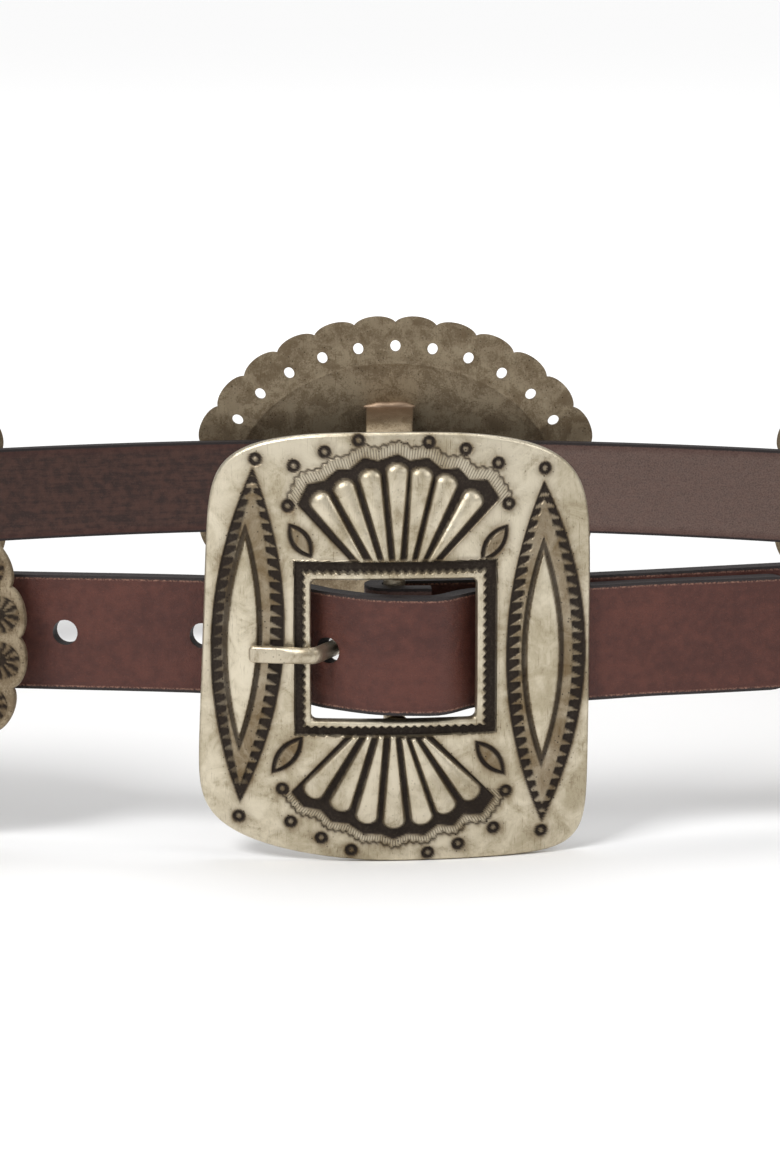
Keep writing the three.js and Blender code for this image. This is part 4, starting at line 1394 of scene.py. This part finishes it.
    def stamped(self, u: np.ndarray, v: np.ndarray) -> Relief:
        """Stamps the whole front.

        Args:
            u: places across.
            v: places up.

        Returns:
            The heights and the patina.
        """
        relief = Relief(u, v)
        for almond in self.almonds:
            almond.stamp(relief)
        for fan in self.fans:
            fan.stamp(relief)
        for from_tip, to_tip in self.leaves:
            relief.leaf(from_tip, to_tip)
        for across, up in self.dots:
            relief.dot(across, up)
        self.stamp_frame(relief)
        return relief

    def stamp_frame(self, relief: Relief) -> None:
        """Stamps the dark channel round the opening and the notched lip inside it."""
        u, v = relief.u, relief.v
        left, right, low, high = self.channel
        side = self.opening_half_width
        top = self.opening_rise + self.opening_half_height
        bottom = self.opening_rise - self.opening_half_height
        beside = np.where(u < 0, (-side - u) / (-side - left), (u - side) / (right - side))
        above = np.where(v < self.opening_rise, (bottom - v) / (bottom - low), (v - top) / (high - top))
        e = np.maximum(beside, above)
        along = np.where(beside > above, v, u)
        notch = 0.5 + 0.5 * np.cos(2 * math.pi * along / 1.5)
        lip = 0.36 + 0.12 * notch
        inside = smoothstep(1.03, 0.94, e)
        relief.lift(inside, -0.6, 1.0)
        relief.ticked = relief.ticked * (1 - inside)
        relief.halo = np.maximum(relief.halo, smoothstep(1.35, 1.0, e) * 0.5)
        relief.lift(smoothstep(1.0, 1.02, e) * smoothstep(1.14, 1.06, e), 0.14)
        raised = smoothstep(lip + 0.06, lip - 0.05, e)
        relief.lift(raised, 0.8 - 0.25 * smoothstep(0.12, 0.0, e))
        relief.halo = np.where(e < 0.3, relief.halo * 0.2, relief.halo)

    def build(self) -> bpy.types.Object:
        """Builds the stamped plate, its plain back, and the crossbar on its two legs."""
        draft = MeshDraft()
        angles = self.directions()
        turns = np.linspace(-math.pi, math.pi, 8001)[:-1]
        outer = self.reach(self.outer_outline(turns), angles)
        inner = self.reach(self.inner_outline(), angles)
        way = np.stack([np.cos(angles), np.sin(angles)], axis=1)

        shares = np.linspace(0, 1, self.rings)
        radius = inner[None] + (outer - inner)[None] * shares[:, None]
        u, v = radius * way[None, :, 0], radius * way[None, :, 1]
        relief = self.stamped(u, v)
        to_rim = (outer - inner)[None] * (1 - shares[:, None])
        to_opening = (outer - inner)[None] * shares[:, None]
        rounding = self.edge_rounding
        for edge in (to_rim, to_opening):
            t = np.clip(1 - edge / rounding, 0, 1)
            relief.height = relief.height - rounding * (1 - np.sqrt(1 - t**2)) * 0.9
        points = np.stack([u, -(self.front(u, v) + relief.height), v], axis=-1)
        front = draft.add_points(
            points, patina=relief.patina, halo=relief.halo, ticked=relief.ticked, tick_run=relief.tick_run
        )
        draft.add_grid(front, round_last=True)

        some = slice(None, None, self.back_share)
        shares = np.linspace(0, 1, self.back_rings)
        radius = inner[None, some] + (outer - inner)[None, some] * shares[:, None]
        u, v = radius * way[None, some, 0], radius * way[None, some, 1]
        out = self.front(u, v) - self.thickness
        back = draft.add_points(np.stack([u, -out, v], axis=-1), patina=0.0, halo=0.45)
        draft.add_grid(back, round_last=True)

        for front_ring, back_ring in ((front[0], back[0]), (front[-1], back[-1])):
            wide = np.append(front_ring, front_ring[0])
            starts = np.arange(0, self.columns, self.back_share)
            upper = np.stack([wide[starts + k] for k in range(self.back_share + 1)], axis=1)
            lower = np.stack([np.roll(back_ring, -1), back_ring], axis=1)
            draft.add_faces(np.concatenate([upper, lower], axis=1))
        self.add_bar(draft)
        return draft.build("buckle_plate", sharp_above=60.0)

    def add_bar(self, draft: MeshDraft) -> None:
        """Adds the round crossbar, bent at both ends into legs that are soldered to the plate."""
        leg_up = self.opening_half_height + self.bar_leg_offset
        foot_up = leg_up + self.opening_rise
        plate_out = float(self.front(np.array(self.bar_across), np.array(foot_up))) - self.thickness
        bend = 2.2
        centre_line = [(plate_out + 0.4, leg_up)]
        for step in range(7):
            turn = math.pi / 2 * step / 6
            centre_line.append((
                self.bar_out + bend * (1 - math.sin(turn)),
                leg_up - bend * (1 - math.cos(turn)),
            ))
        upper = np.array(centre_line)
        whole = np.concatenate([upper, np.stack([upper[::-1, 0], -upper[::-1, 1]], axis=1)])
        steps = np.gradient(whole, axis=0)
        steps /= np.linalg.norm(steps, axis=1, keepdims=True)
        turns = 2 * math.pi * np.arange(20) / 20
        across = self.bar_across + self.bar_radius * np.cos(turns)[None].repeat(len(whole), 0)
        side = self.bar_radius * np.sin(turns)[None]
        out = whole[:, :1] + side * -steps[:, 1:]
        up = self.opening_rise + whole[:, 1:] + side * steps[:, :1]
        numbers = draft.add_points(np.stack([across, -out, up], axis=-1), halo=0.5)
        draft.add_grid(numbers, round_last=True)
        for end in (1, -1):
            self.add_solder(draft, self.opening_rise + end * leg_up, plate_out)

    def add_solder(self, draft: MeshDraft, up: float, plate_out: float) -> None:
        """Adds the collar of solder round the foot of one leg."""
        turns = 2 * math.pi * np.arange(24) / 24
        profile = [
            (self.bar_radius + 1.5, 0.25), (self.bar_radius + 0.7, -0.25), (self.bar_radius + 0.25, -0.8),
            (self.bar_radius - 0.05, -1.7),
        ]
        rings = []
        for radius, depth in profile:
            wobble = radius + 0.15 * np.sin(3 * turns + up) * (radius > self.bar_radius)
            points = np.stack([
                self.bar_across + wobble * np.cos(turns),
                np.full(24, -(plate_out + depth)),
                up + wobble * np.sin(turns),
            ], axis=-1)
            rings.append(points)
        numbers = draft.add_points(np.stack(rings), halo=0.6, solder=0.5)
        draft.add_grid(numbers, round_last=True)


# The tongue and the rivets


@dataclass
class Tongue:
    """The buckle's tongue, forged from oval wire: an eye round the bar and a filed tip."""

    width: float = 3.1
    thickness: float = 2.2
    bar_radius: float = 2.0
    gap: float = 0.3
    bar_out: float = 8.0
    bar_across: float = 0.5
    way: tuple = (
        (-2.9, 8.0), (-5.1, 7.7), (-9.65, 9.04), (-11.0, 11.38), (-12.35, 13.72), (-14.12, 16.87),
        (-15.9, 17.47), (-21.05, 16.43), (-26.2, 15.09),
    )

    def build(self) -> bpy.types.Object:
        """Builds the eye and the shank."""
        draft = MeshDraft()
        half_out, half_up = self.thickness / 2, self.width / 2
        middle = self.bar_radius + self.gap + half_out
        turns = 2 * math.pi * np.arange(48) / 48
        section = rounded_section(half_out, half_up, 0.8, 5)
        radius = middle + section[None, :, 0]
        across = self.bar_across + radius * np.cos(turns)[:, None]
        out = self.bar_out + radius * np.sin(turns)[:, None]
        up = np.broadcast_to(section[None, :, 1], across.shape)
        numbers = draft.add_points(np.stack([across, -out, up], axis=-1), halo=0.4)
        draft.add_grid(numbers, round_first=True, round_last=True)

        points = catmull(np.array(self.way, float), 110)
        sections = np.zeros((len(points), 24, 2))
        last = len(points) - 1
        for i in range(len(points)):
            to_tip = (last - i) / last
            end = max(0.0, 1 - to_tip * 30)
            scale = math.sqrt(max(1 - end**2 * 0.8, 0.05))
            flat_share = min(1.0, max(0.0, (0.3 - to_tip) / 0.1))
            round_part = ellipse_section(half_out, half_up, 24)
            square_part = rounded_section(half_out * 0.86, half_up * 0.98, 0.5, 6)
            blended = round_part * (1 - flat_share) + square_part * flat_share
            sections[i] = blended * np.array([scale, 0.35 + 0.65 * scale])
        sweep(draft, points, sections, halo=0.35)
        return draft.build("buckle_tongue", sharp_above=50.0)


@dataclass
class Rivet:
    """A brass rivet with two domed heads."""

    shank_radius: float = 1.2
    head_radius: float = 2.2
    head_thickness: float = 0.5
    half_grip: float = 5.8

    def build(self, name: str) -> bpy.types.Object:
        """Builds the rivet along its own Y axis."""
        draft = MeshDraft()
        grip = self.half_grip
        profile = [(self.shank_radius, 0.0), (self.shank_radius, grip), (self.head_radius, grip)]
        for step in range(7):
            turn = math.pi / 2 * step / 6
            rise = self.head_thickness * (0.3 + 0.7 * math.sin(turn))
            profile.append((self.head_radius * math.cos(turn), grip + rise))
        upper = np.array(profile[:-1])
        whole = np.concatenate([upper[::-1] * [1, -1], upper[1:]])
        turns = 2 * math.pi * np.arange(28) / 28
        x = whole[:, :1] * np.cos(turns)[None]
        z = whole[:, :1] * np.sin(turns)[None]
        y = np.broadcast_to(whole[:, 1:], x.shape)
        numbers = draft.add_points(np.stack([x, y, z], axis=-1), patina=0.0)
        draft.add_grid(numbers, round_last=True)
        for ring, side in ((numbers[0], -1), (numbers[-1], 1)):
            top = np.array([[0.0, side * (grip + self.head_thickness), 0.0]])
            draft.add_fan(int(draft.add_points(top, patina=0.0)[0]), ring)
        return draft.build(name)


# The conchos


@dataclass
class Concho:
    """A domed oval plate with a scalloped and pierced border, and a bail soldered to its back."""

    half_width: float = 50.2
    half_height: float = 40.3
    thickness: float = 1.2
    standoff: float = 3.6
    scallops: int = 28
    scallop_depth: float = 1.5
    hole_radius: float = 1.4
    hole_inset: float = 7.3
    border_width: float = 11.5
    border_rise: float = 0.8
    dome_height: float = 7.0
    bail_width: float = 11.0
    bail_across: float = 1.4
    bail_thickness: float = 1.2
    bail_foot: float = 3.0
    bail_gap: float = 0.8
    strap_width: float = 21.7
    strap_thickness: float = 3.2
    columns_in_scallop: int = 24
    dome_rings: int = 13

    def edge(self, share: np.ndarray) -> tuple[np.ndarray, np.ndarray]:
        """Points and normals at shares of the edge's length, counted from the bottom."""
        turns = np.linspace(0, 2 * math.pi, 14401)
        fine = np.stack([self.half_width * np.sin(turns), -self.half_height * np.cos(turns)], axis=1)
        lengths = np.concatenate([[0], np.cumsum(np.linalg.norm(np.diff(fine, axis=0), axis=1))])
        turn = np.interp(np.mod(share, 1) * lengths[-1], lengths, turns)
        point = np.stack([self.half_width * np.sin(turn), -self.half_height * np.cos(turn)], axis=-1)
        normal = np.stack([self.half_height * np.sin(turn), -self.half_width * np.cos(turn)], axis=-1)
        self.pitch = float(lengths[-1]) / self.scallops
        return point, normal / np.linalg.norm(normal, axis=-1, keepdims=True)

    def scallop(self, x: np.ndarray) -> np.ndarray:
        """How far the scalloped edge lies inside the oval, at shares of a scallop from its middle."""
        steepness = 1.86
        fall = 1 - np.sqrt(np.clip(1 - (steepness * abs(x)) ** 2, 0, 1))
        deepest = 1 - math.sqrt(1 - (steepness / 2) ** 2)
        return self.scallop_depth * fall / deepest

    def insets(self) -> np.ndarray:
        """Insets of the border's rings, with one on each side of the holes."""
        step = self.hole_radius / 3
        first = self.hole_inset - 6 * step
        outer = np.linspace(0, first, 14)[:-1]
        middle = first + step * np.arange(12)
        inner = np.linspace(first + 12 * step, self.border_width, 5)
        return np.concatenate([outer, middle, inner])

    def stamps(self, x: np.ndarray, inset: np.ndarray, edge_inset: np.ndarray) -> Relief:
        """Stamps the front of the border: a bead, a half round of rays in each scallop and a ring.

        Args:
            x: places along the edge from the nearest hole.
            inset: distances inside the oval.
            edge_inset: how far the scalloped edge lies inside it there.

        Returns:
            The heights and the patina.
        """
        relief = Relief(x, inset)
        from_edge = inset - edge_inset
        beside = self.pitch / 2 - abs(x)
        centre = 5.4
        radius = np.hypot(beside, (inset - centre) * 0.95)
        turn = np.arctan2(centre - inset, beside)
        half_round = np.maximum(radius - 4.1, inset - centre)
        relief.sink(np.maximum(half_round, 1.0 - from_edge), 0.4, 0.3, 0.95)
        rays = 0.5 + 0.5 * np.cos(12 * turn)
        ray = smoothstep(0.4, 0.7, rays) * smoothstep(1.4, 1.8, radius) * smoothstep(0.0, -0.3, half_round)
        relief.lift(ray * (from_edge > 1.0), -0.02, 0.05)
        bead = np.clip(1 - abs(from_edge - 0.62) / 0.55, 0, 1)
        relief.height = relief.height + 0.22 * np.sqrt(bead)
        hole = np.hypot(x, inset - self.hole_inset) - self.hole_radius
        relief.halo = np.maximum(relief.halo, np.exp(-np.maximum(hole, 0) / 0.7) * 0.8)
        relief.sink(abs(inset - 10.4) - 0.28, 0.25, 0.2, 0.85)
        return relief

    def build_shared(self) -> bpy.types.Mesh:
        """Builds the mesh that every concho is a copy of, in the concho's own frame."""
        draft = MeshDraft()
        per = self.columns_in_scallop
        cell = (np.arange(self.scallops * per) / per + 0.5) % 1 - 0.5
        share = np.arange(self.scallops * per) / (self.scallops * per)
        insets = self.insets()
        self.edge(share)
        pitch = self.pitch
        x = np.broadcast_to(cell * pitch, (len(insets), len(cell)))
        y = np.broadcast_to(insets[:, None], x.shape)

        square_x = self.hole_radius_in_columns(pitch)
        dx, dy = x, y - self.hole_inset
        norm = np.maximum(abs(dx) / square_x, abs(dy) / self.hole_radius)
        distance = np.maximum(np.hypot(dx / square_x, dy / self.hole_radius), 1e-9)
        t = np.clip((norm - 1) / 0.9, 0, 1)
        factor = np.where(norm < 1.9, (1 - t) * norm / distance + t, 1)
        squeeze = np.where(norm < 1.9, (1 - t) * self.hole_radius / square_x + t, 1)
        bent_x = dx * factor * squeeze
        bent_y = self.hole_inset + dy * factor
        edge_inset = self.scallop(0.5 - abs(cell))[None]
        bent_y = bent_y + edge_inset * smoothstep(5.0, 0.0, y)

        moved = (bent_x - x) / pitch / self.scallops
        point, normal = self.edge(share[None] + moved)
        at = point - normal * bent_y[..., None]
        relief = self.stamps(bent_x, bent_y, edge_inset)
        ring_mid_x = (np.roll(x, -1, axis=1) + x) / 2
        wrapped = abs(np.roll(x, -1, axis=1) - x) > pitch / 2
        ring_mid_x = np.where(wrapped, pitch / 2, ring_mid_x)
        mid_x, mid_y = ring_mid_x[1:], (y[1:] + y[:-1]) / 2
        kept = ~((abs(mid_x) < square_x * 0.999) & (abs(mid_y - self.hole_inset) < self.hole_radius * 0.999))

        base = self.border_rise * np.clip(bent_y - edge_inset, 0, None) / self.border_width
        rounding = 0.35
        lowered = rounding * (1 - np.sqrt(1 - np.clip(1 - (bent_y - edge_inset) / rounding, 0, 1) ** 2))
        border = []
        for front in (True, False):
            out = base + (self.thickness + relief.height - lowered if front else 0.0)
            patina = relief.patina if front else np.zeros_like(relief.patina)
            halo = relief.halo if front else 0.35 * relief.halo
            points = np.stack([at[..., 0], -out, at[..., 1]], axis=-1)
            rings = draft.add_points(points, patina=patina, halo=halo)
            grid = np.concatenate([rings, rings[:, :1]], axis=1)
            faces = np.stack([grid[:-1, :-1], grid[1:, :-1], grid[1:, 1:], grid[:-1, 1:]], axis=-1)
            draft.add_faces(faces[kept])
            border.append(rings)
        self.add_walls(draft, border, kept)
        for rings, front in zip(border, (True, False)):
            self.add_dome(draft, rings[-1], at[-1], front)
        self.add_bail(draft)
        piece = draft.build("concho_shared", sharp_above=48.0)
        mesh = piece.data
        bpy.data.objects.remove(piece)
        return mesh

    def hole_radius_in_columns(self, pitch: float) -> float:
        """Half the width of the square of columns that each hole is cut from."""
        step = pitch / self.columns_in_scallop
        return 3 * step

    @staticmethod
    def add_walls(draft: MeshDraft, border: list[np.ndarray], kept: np.ndarray) -> None:
        """Joins the front to the back along the outer edge and inside the holes."""
        front, back = border
        none = np.zeros_like(kept[:1])
        open_above = np.concatenate([none, kept]) != np.concatenate([kept, none])
        open_above[-1] = False
        after = np.roll(np.arange(front.shape[1]), -1)
        i, j = np.nonzero(open_above)
        draft.add_faces(np.stack([front[i, j], front[i, after[j]], back[i, after[j]], back[i, j]], axis=-1))
        open_beside = kept != np.roll(kept, 1, axis=1)
        i, j = np.nonzero(open_beside)
        draft.add_faces(np.stack([front[i, j], front[i + 1, j], back[i + 1, j], back[i, j]], axis=-1))

    def add_dome(self, draft: MeshDraft, ring: np.ndarray, at: np.ndarray, front: bool) -> None:
        """Adds the dome inside the border, on the front or on the back."""
        level = self.border_rise + (self.thickness if front else 0.0)
        shares = np.cos(np.linspace(0, math.pi / 2, self.dome_rings + 2))[1:-1]
        step = smoothstep(1.0, 0.985, shares)
        rise = self.dome_height * (1 - shares**2) + 0.25 * step * (1 if front else 0)
        points = at[None] * shares[:, None, None]
        out = np.broadcast_to((level + rise)[:, None], points.shape[:2])
        halo = np.broadcast_to((0.4 * smoothstep(0.9, 1.0, shares))[:, None], points.shape[:2])
        rings = draft.add_points(np.stack([points[..., 0], -out, points[..., 1]], axis=-1), halo=halo)
        draft.add_grid(np.concatenate([ring[None], rings]), round_last=True)
        top = np.array([[0.0, -(level + self.dome_height), 0.0]])
        draft.add_fan(int(draft.add_points(top, halo=0.0)[0]), rings[-1])

    def add_bail(self, draft: MeshDraft) -> None:
        """Adds the flat staple that the strap passes through, with solder at its two feet."""
        half = self.bail_thickness / 2
        inner_half = self.strap_width / 2 + self.bail_gap + 2
        inner_in = -(self.strap_thickness / 2 + self.bail_gap) - self.standoff
        foot_up = inner_half + self.bail_foot

        def back_out(up: float) -> float:
            """How far out the dome's back lies at a height from the concho's centre."""
            share = up / (self.half_height - self.border_width)
            return self.border_rise + self.dome_height * (1 - min(share**2, 1))

        corner = [
            (0.0, inner_in - half), (inner_half - 3.0, inner_in - half),
            (inner_half - 1.2, inner_in - half + 0.1),
            (inner_half + half * 0.6, inner_in + 0.9), (inner_half + 1.5, inner_in + 3.6),
            (foot_up + half, back_out(foot_up) + 0.35),
        ]
        right = catmull(np.array(corner), 34)
        whole = np.concatenate([right[:0:-1] * [-1, 1], right])
        steps = np.gradient(whole, axis=0)
        steps /= np.linalg.norm(steps, axis=1, keepdims=True)
        normal = np.stack([-steps[:, 1], steps[:, 0]], axis=1)
        section = rounded_section(half, self.bail_width / 2, 0.4, 4)
        up = whole[:, None, 0] + normal[:, None, 0] * section[None, :, 0]
        out = whole[:, None, 1] + normal[:, None, 1] * section[None, :, 0]
        waist = 1 + 0.035 * (abs(whole[:, 0]) / foot_up)[:, None] ** 2
        across = self.bail_across + section[None, :, 1] * waist
        foot = smoothstep(inner_half + 1.0, foot_up, abs(up))
        points = np.stack([across, -out, up], axis=-1)
        numbers = draft.add_points(points, halo=0.3 + 0.4 * foot, solder=0.45 * foot)
        draft.add_grid(numbers, round_last=True)
        draft.add_faces(numbers[:1])
        draft.add_faces(numbers[-1:])
        for end in (1, -1):
            self.add_solder(draft, end * (foot_up + half), back_out(foot_up))

    def add_solder(self, draft: MeshDraft, up: float, level: float) -> None:
        """Adds the mound of solder at one foot of the bail."""
        turns = 2 * math.pi * np.arange(40) / 40
        rings = []
        for share, lift in ((1.0, -0.25), (0.93, 0.35), (0.8, 0.75), (0.55, 1.15), (0.25, 1.35)):
            wobble = 1 + 0.06 * np.sin(3 * turns + 0.7) + 0.04 * np.sin(7 * turns)
            x = self.bail_across + (self.bail_width / 2 + 0.9) * share * np.cos(turns) * wobble
            z = up + 1.9 * share * np.sin(turns) * wobble
            reach = z / (self.half_height - self.border_width)
            surface = self.border_rise + self.dome_height * (1 - np.minimum(reach**2, 1))
            rings.append(np.stack([x, -(surface - lift), z], axis=-1))
        numbers = draft.add_points(np.stack(rings), solder=0.75, halo=0.6)
        draft.add_grid(numbers, round_last=True)
        top = np.array([[self.bail_across, -(level - 1.4), up]])
        draft.add_fan(int(draft.add_points(top, solder=0.75, halo=0.6)[0]), numbers[-1])


# The belt, the light and the camera


@dataclass
class ConchoPlace:
    """One concho's name and its place along the loop from the buckle."""

    name: str
    share: float


@dataclass
class Belt:
    """The whole belt."""

    rivet_rise: float = 6.5
    rivet_across: float = 4.0
    bar_out: float = 8.0
    tongue_drop: float = 0.5
    places: tuple = (
        ConchoPlace("concho_near_left", -0.1374),
        ConchoPlace("concho_far_left", -0.3583),
        ConchoPlace("concho_far", -0.5238),
        ConchoPlace("concho_far_right", -0.685),
        ConchoPlace("concho_near_right", 0.1592),
    )

    def __post_init__(self) -> None:
        """Reads where the belt stands from the two rivets' solids."""
        centres = [sum(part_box(name), Vector()) / 2 / METRES for name in ("rivet_top", "rivet_bottom")]
        self.strap_height = (centres[0].z + centres[1].z) / 2
        loop = Loop()
        unmoved = loop.frames(loop.buckle_off_middle).at(self.rivet_across, self.bar_out)
        self.loop = Loop(shift=(centres[0].x - unmoved[0], centres[0].y - unmoved[1]))

    def build(self) -> None:
        """Builds every piece, dresses it and puts it in its place."""
        silver = Silver("stamped_silver").make()
        tarnished = Silver(
            "tarnished_silver",
            bright=linear(226, 216, 194),
            dull=linear(168, 154, 130),
            brown=linear(104, 86, 64),
            tarnish=0.5,
            roughness=0.42,
        ).make()
        here = self.loop.buckle_off_middle

        strap = Strap(self.loop, self.strap_height).build()
        dress(strap, StrapLeather().make(), Slot.LEATHER, "strap")

        buckle = Buckle()
        plate = buckle.build()
        put(plate, self.loop.matrix(here, buckle.centre_height))
        dress(plate, silver, Slot.SILVER, "buckle")

        tongue = Tongue().build()
        put(tongue, self.loop.matrix(here, self.strap_height - self.tongue_drop))
        dress(tongue, silver, Slot.SILVER, "tongue")

        brass = RivetBrass().make()
        for name, rise in (("rivet_top", self.rivet_rise), ("rivet_bottom", -self.rivet_rise)):
            rivet = Rivet().build(f"brass_{name}")
            put(rivet, self.loop.matrix(here, self.strap_height + rise, self.rivet_across, self.bar_out))
            dress(rivet, brass, Slot.BRASS, name)

        concho = Concho()
        shared = concho.build_shared()
        for place in self.places:
            piece = bpy.data.objects.new(f"silver_{place.name}", shared.copy())
            bpy.context.scene.collection.objects.link(piece)
            along = here + place.share * self.loop.length
            put(piece, self.loop.matrix(along, self.strap_height, 0.0, concho.standoff))
            dress(piece, tarnished, Slot.TARNISHED, place.name)


@dataclass
class Studio:
    """The floor, the light and the camera."""

    floor_size: float = 60.0
    camera_place: tuple = (-0.02519, -0.66252, 0.15943)
    camera_turn: float = 2.34
    camera_pitch: float = 10.8
    focal_pixels: float = 3166.0
    image_height: float = 1170.0
    sensor: float = 36.0

    def build(self) -> None:
        """Builds the studio round the belt."""
        self.add_floor()
        self.add_world()
        self.add_light("key_light", (-1.1, -1.3, 1.7), 0.8, 32.0)
        self.add_light("fill_light", (1.5, -0.9, 1.2), 1.0, 8.0)
        self.add_light("top_light", (0.1, 0.5, 2.2), 1.2, 16.0)
        self.add_camera()
        bpy.context.scene.view_settings.view_transform = "Standard"
        log.info("studio: floor, lights and camera")

    def add_floor(self) -> None:
        """Adds the pale floor."""
        draft = MeshDraft()
        side = np.linspace(-self.floor_size, self.floor_size, 9) / METRES
        x, y = np.meshgrid(side, side, indexing="ij")
        numbers = draft.add_points(np.stack([x, y, np.full_like(x, -0.05)], axis=-1), patina=0.0)
        draft.add_grid(numbers)
        floor = draft.build("floor")
        floor.data.materials.append(FloorPaint().make())

    @staticmethod
    def add_world() -> None:
        """Adds a soft even surround."""
        world = bpy.data.worlds.new("studio")
        world.use_nodes = True
        background = world.node_tree.nodes["Background"]
        background.inputs["Color"].default_value = (1.0, 1.0, 1.0, 1.0)
        background.inputs["Strength"].default_value = 0.44
        bpy.context.scene.world = world

    @staticmethod
    def add_light(name: str, place: tuple[float, float, float], size: float, power: float) -> None:
        """Adds a soft square light that looks at the belt.

        Args:
            name: the light's name.
            place: where it hangs.
            size: its side in metres.
            power: its power in watts.
        """
        data = bpy.data.lights.new(name, "AREA")
        data.shape = "SQUARE"
        data.size = size
        data.energy = power
        light = bpy.data.objects.new(name, data)
        light.location = place
        way = Vector((0.0, 0.0, 0.04)) - Vector(place)
        light.rotation_euler = way.to_track_quat("-Z", "Y").to_euler()
        bpy.context.scene.collection.objects.link(light)

    def add_camera(self) -> None:
        """Adds the camera where the photograph was taken from."""
        data = bpy.data.cameras.new("camera")
        data.sensor_width = self.sensor
        data.lens = self.focal_pixels / self.image_height * self.sensor
        camera = bpy.data.objects.new("camera", data)
        camera.location = self.camera_place
        camera.rotation_euler = (math.radians(90 - self.camera_pitch), 0.0, math.radians(-self.camera_turn))
        bpy.context.scene.collection.objects.link(camera)
        bpy.context.scene.camera = camera


def main() -> None:
    """Builds the belt and the studio."""
    logging.basicConfig(level=logging.INFO, format="%(message)s")
    Belt().build()
    Studio().build()


if __name__ == "__main__":
    main()
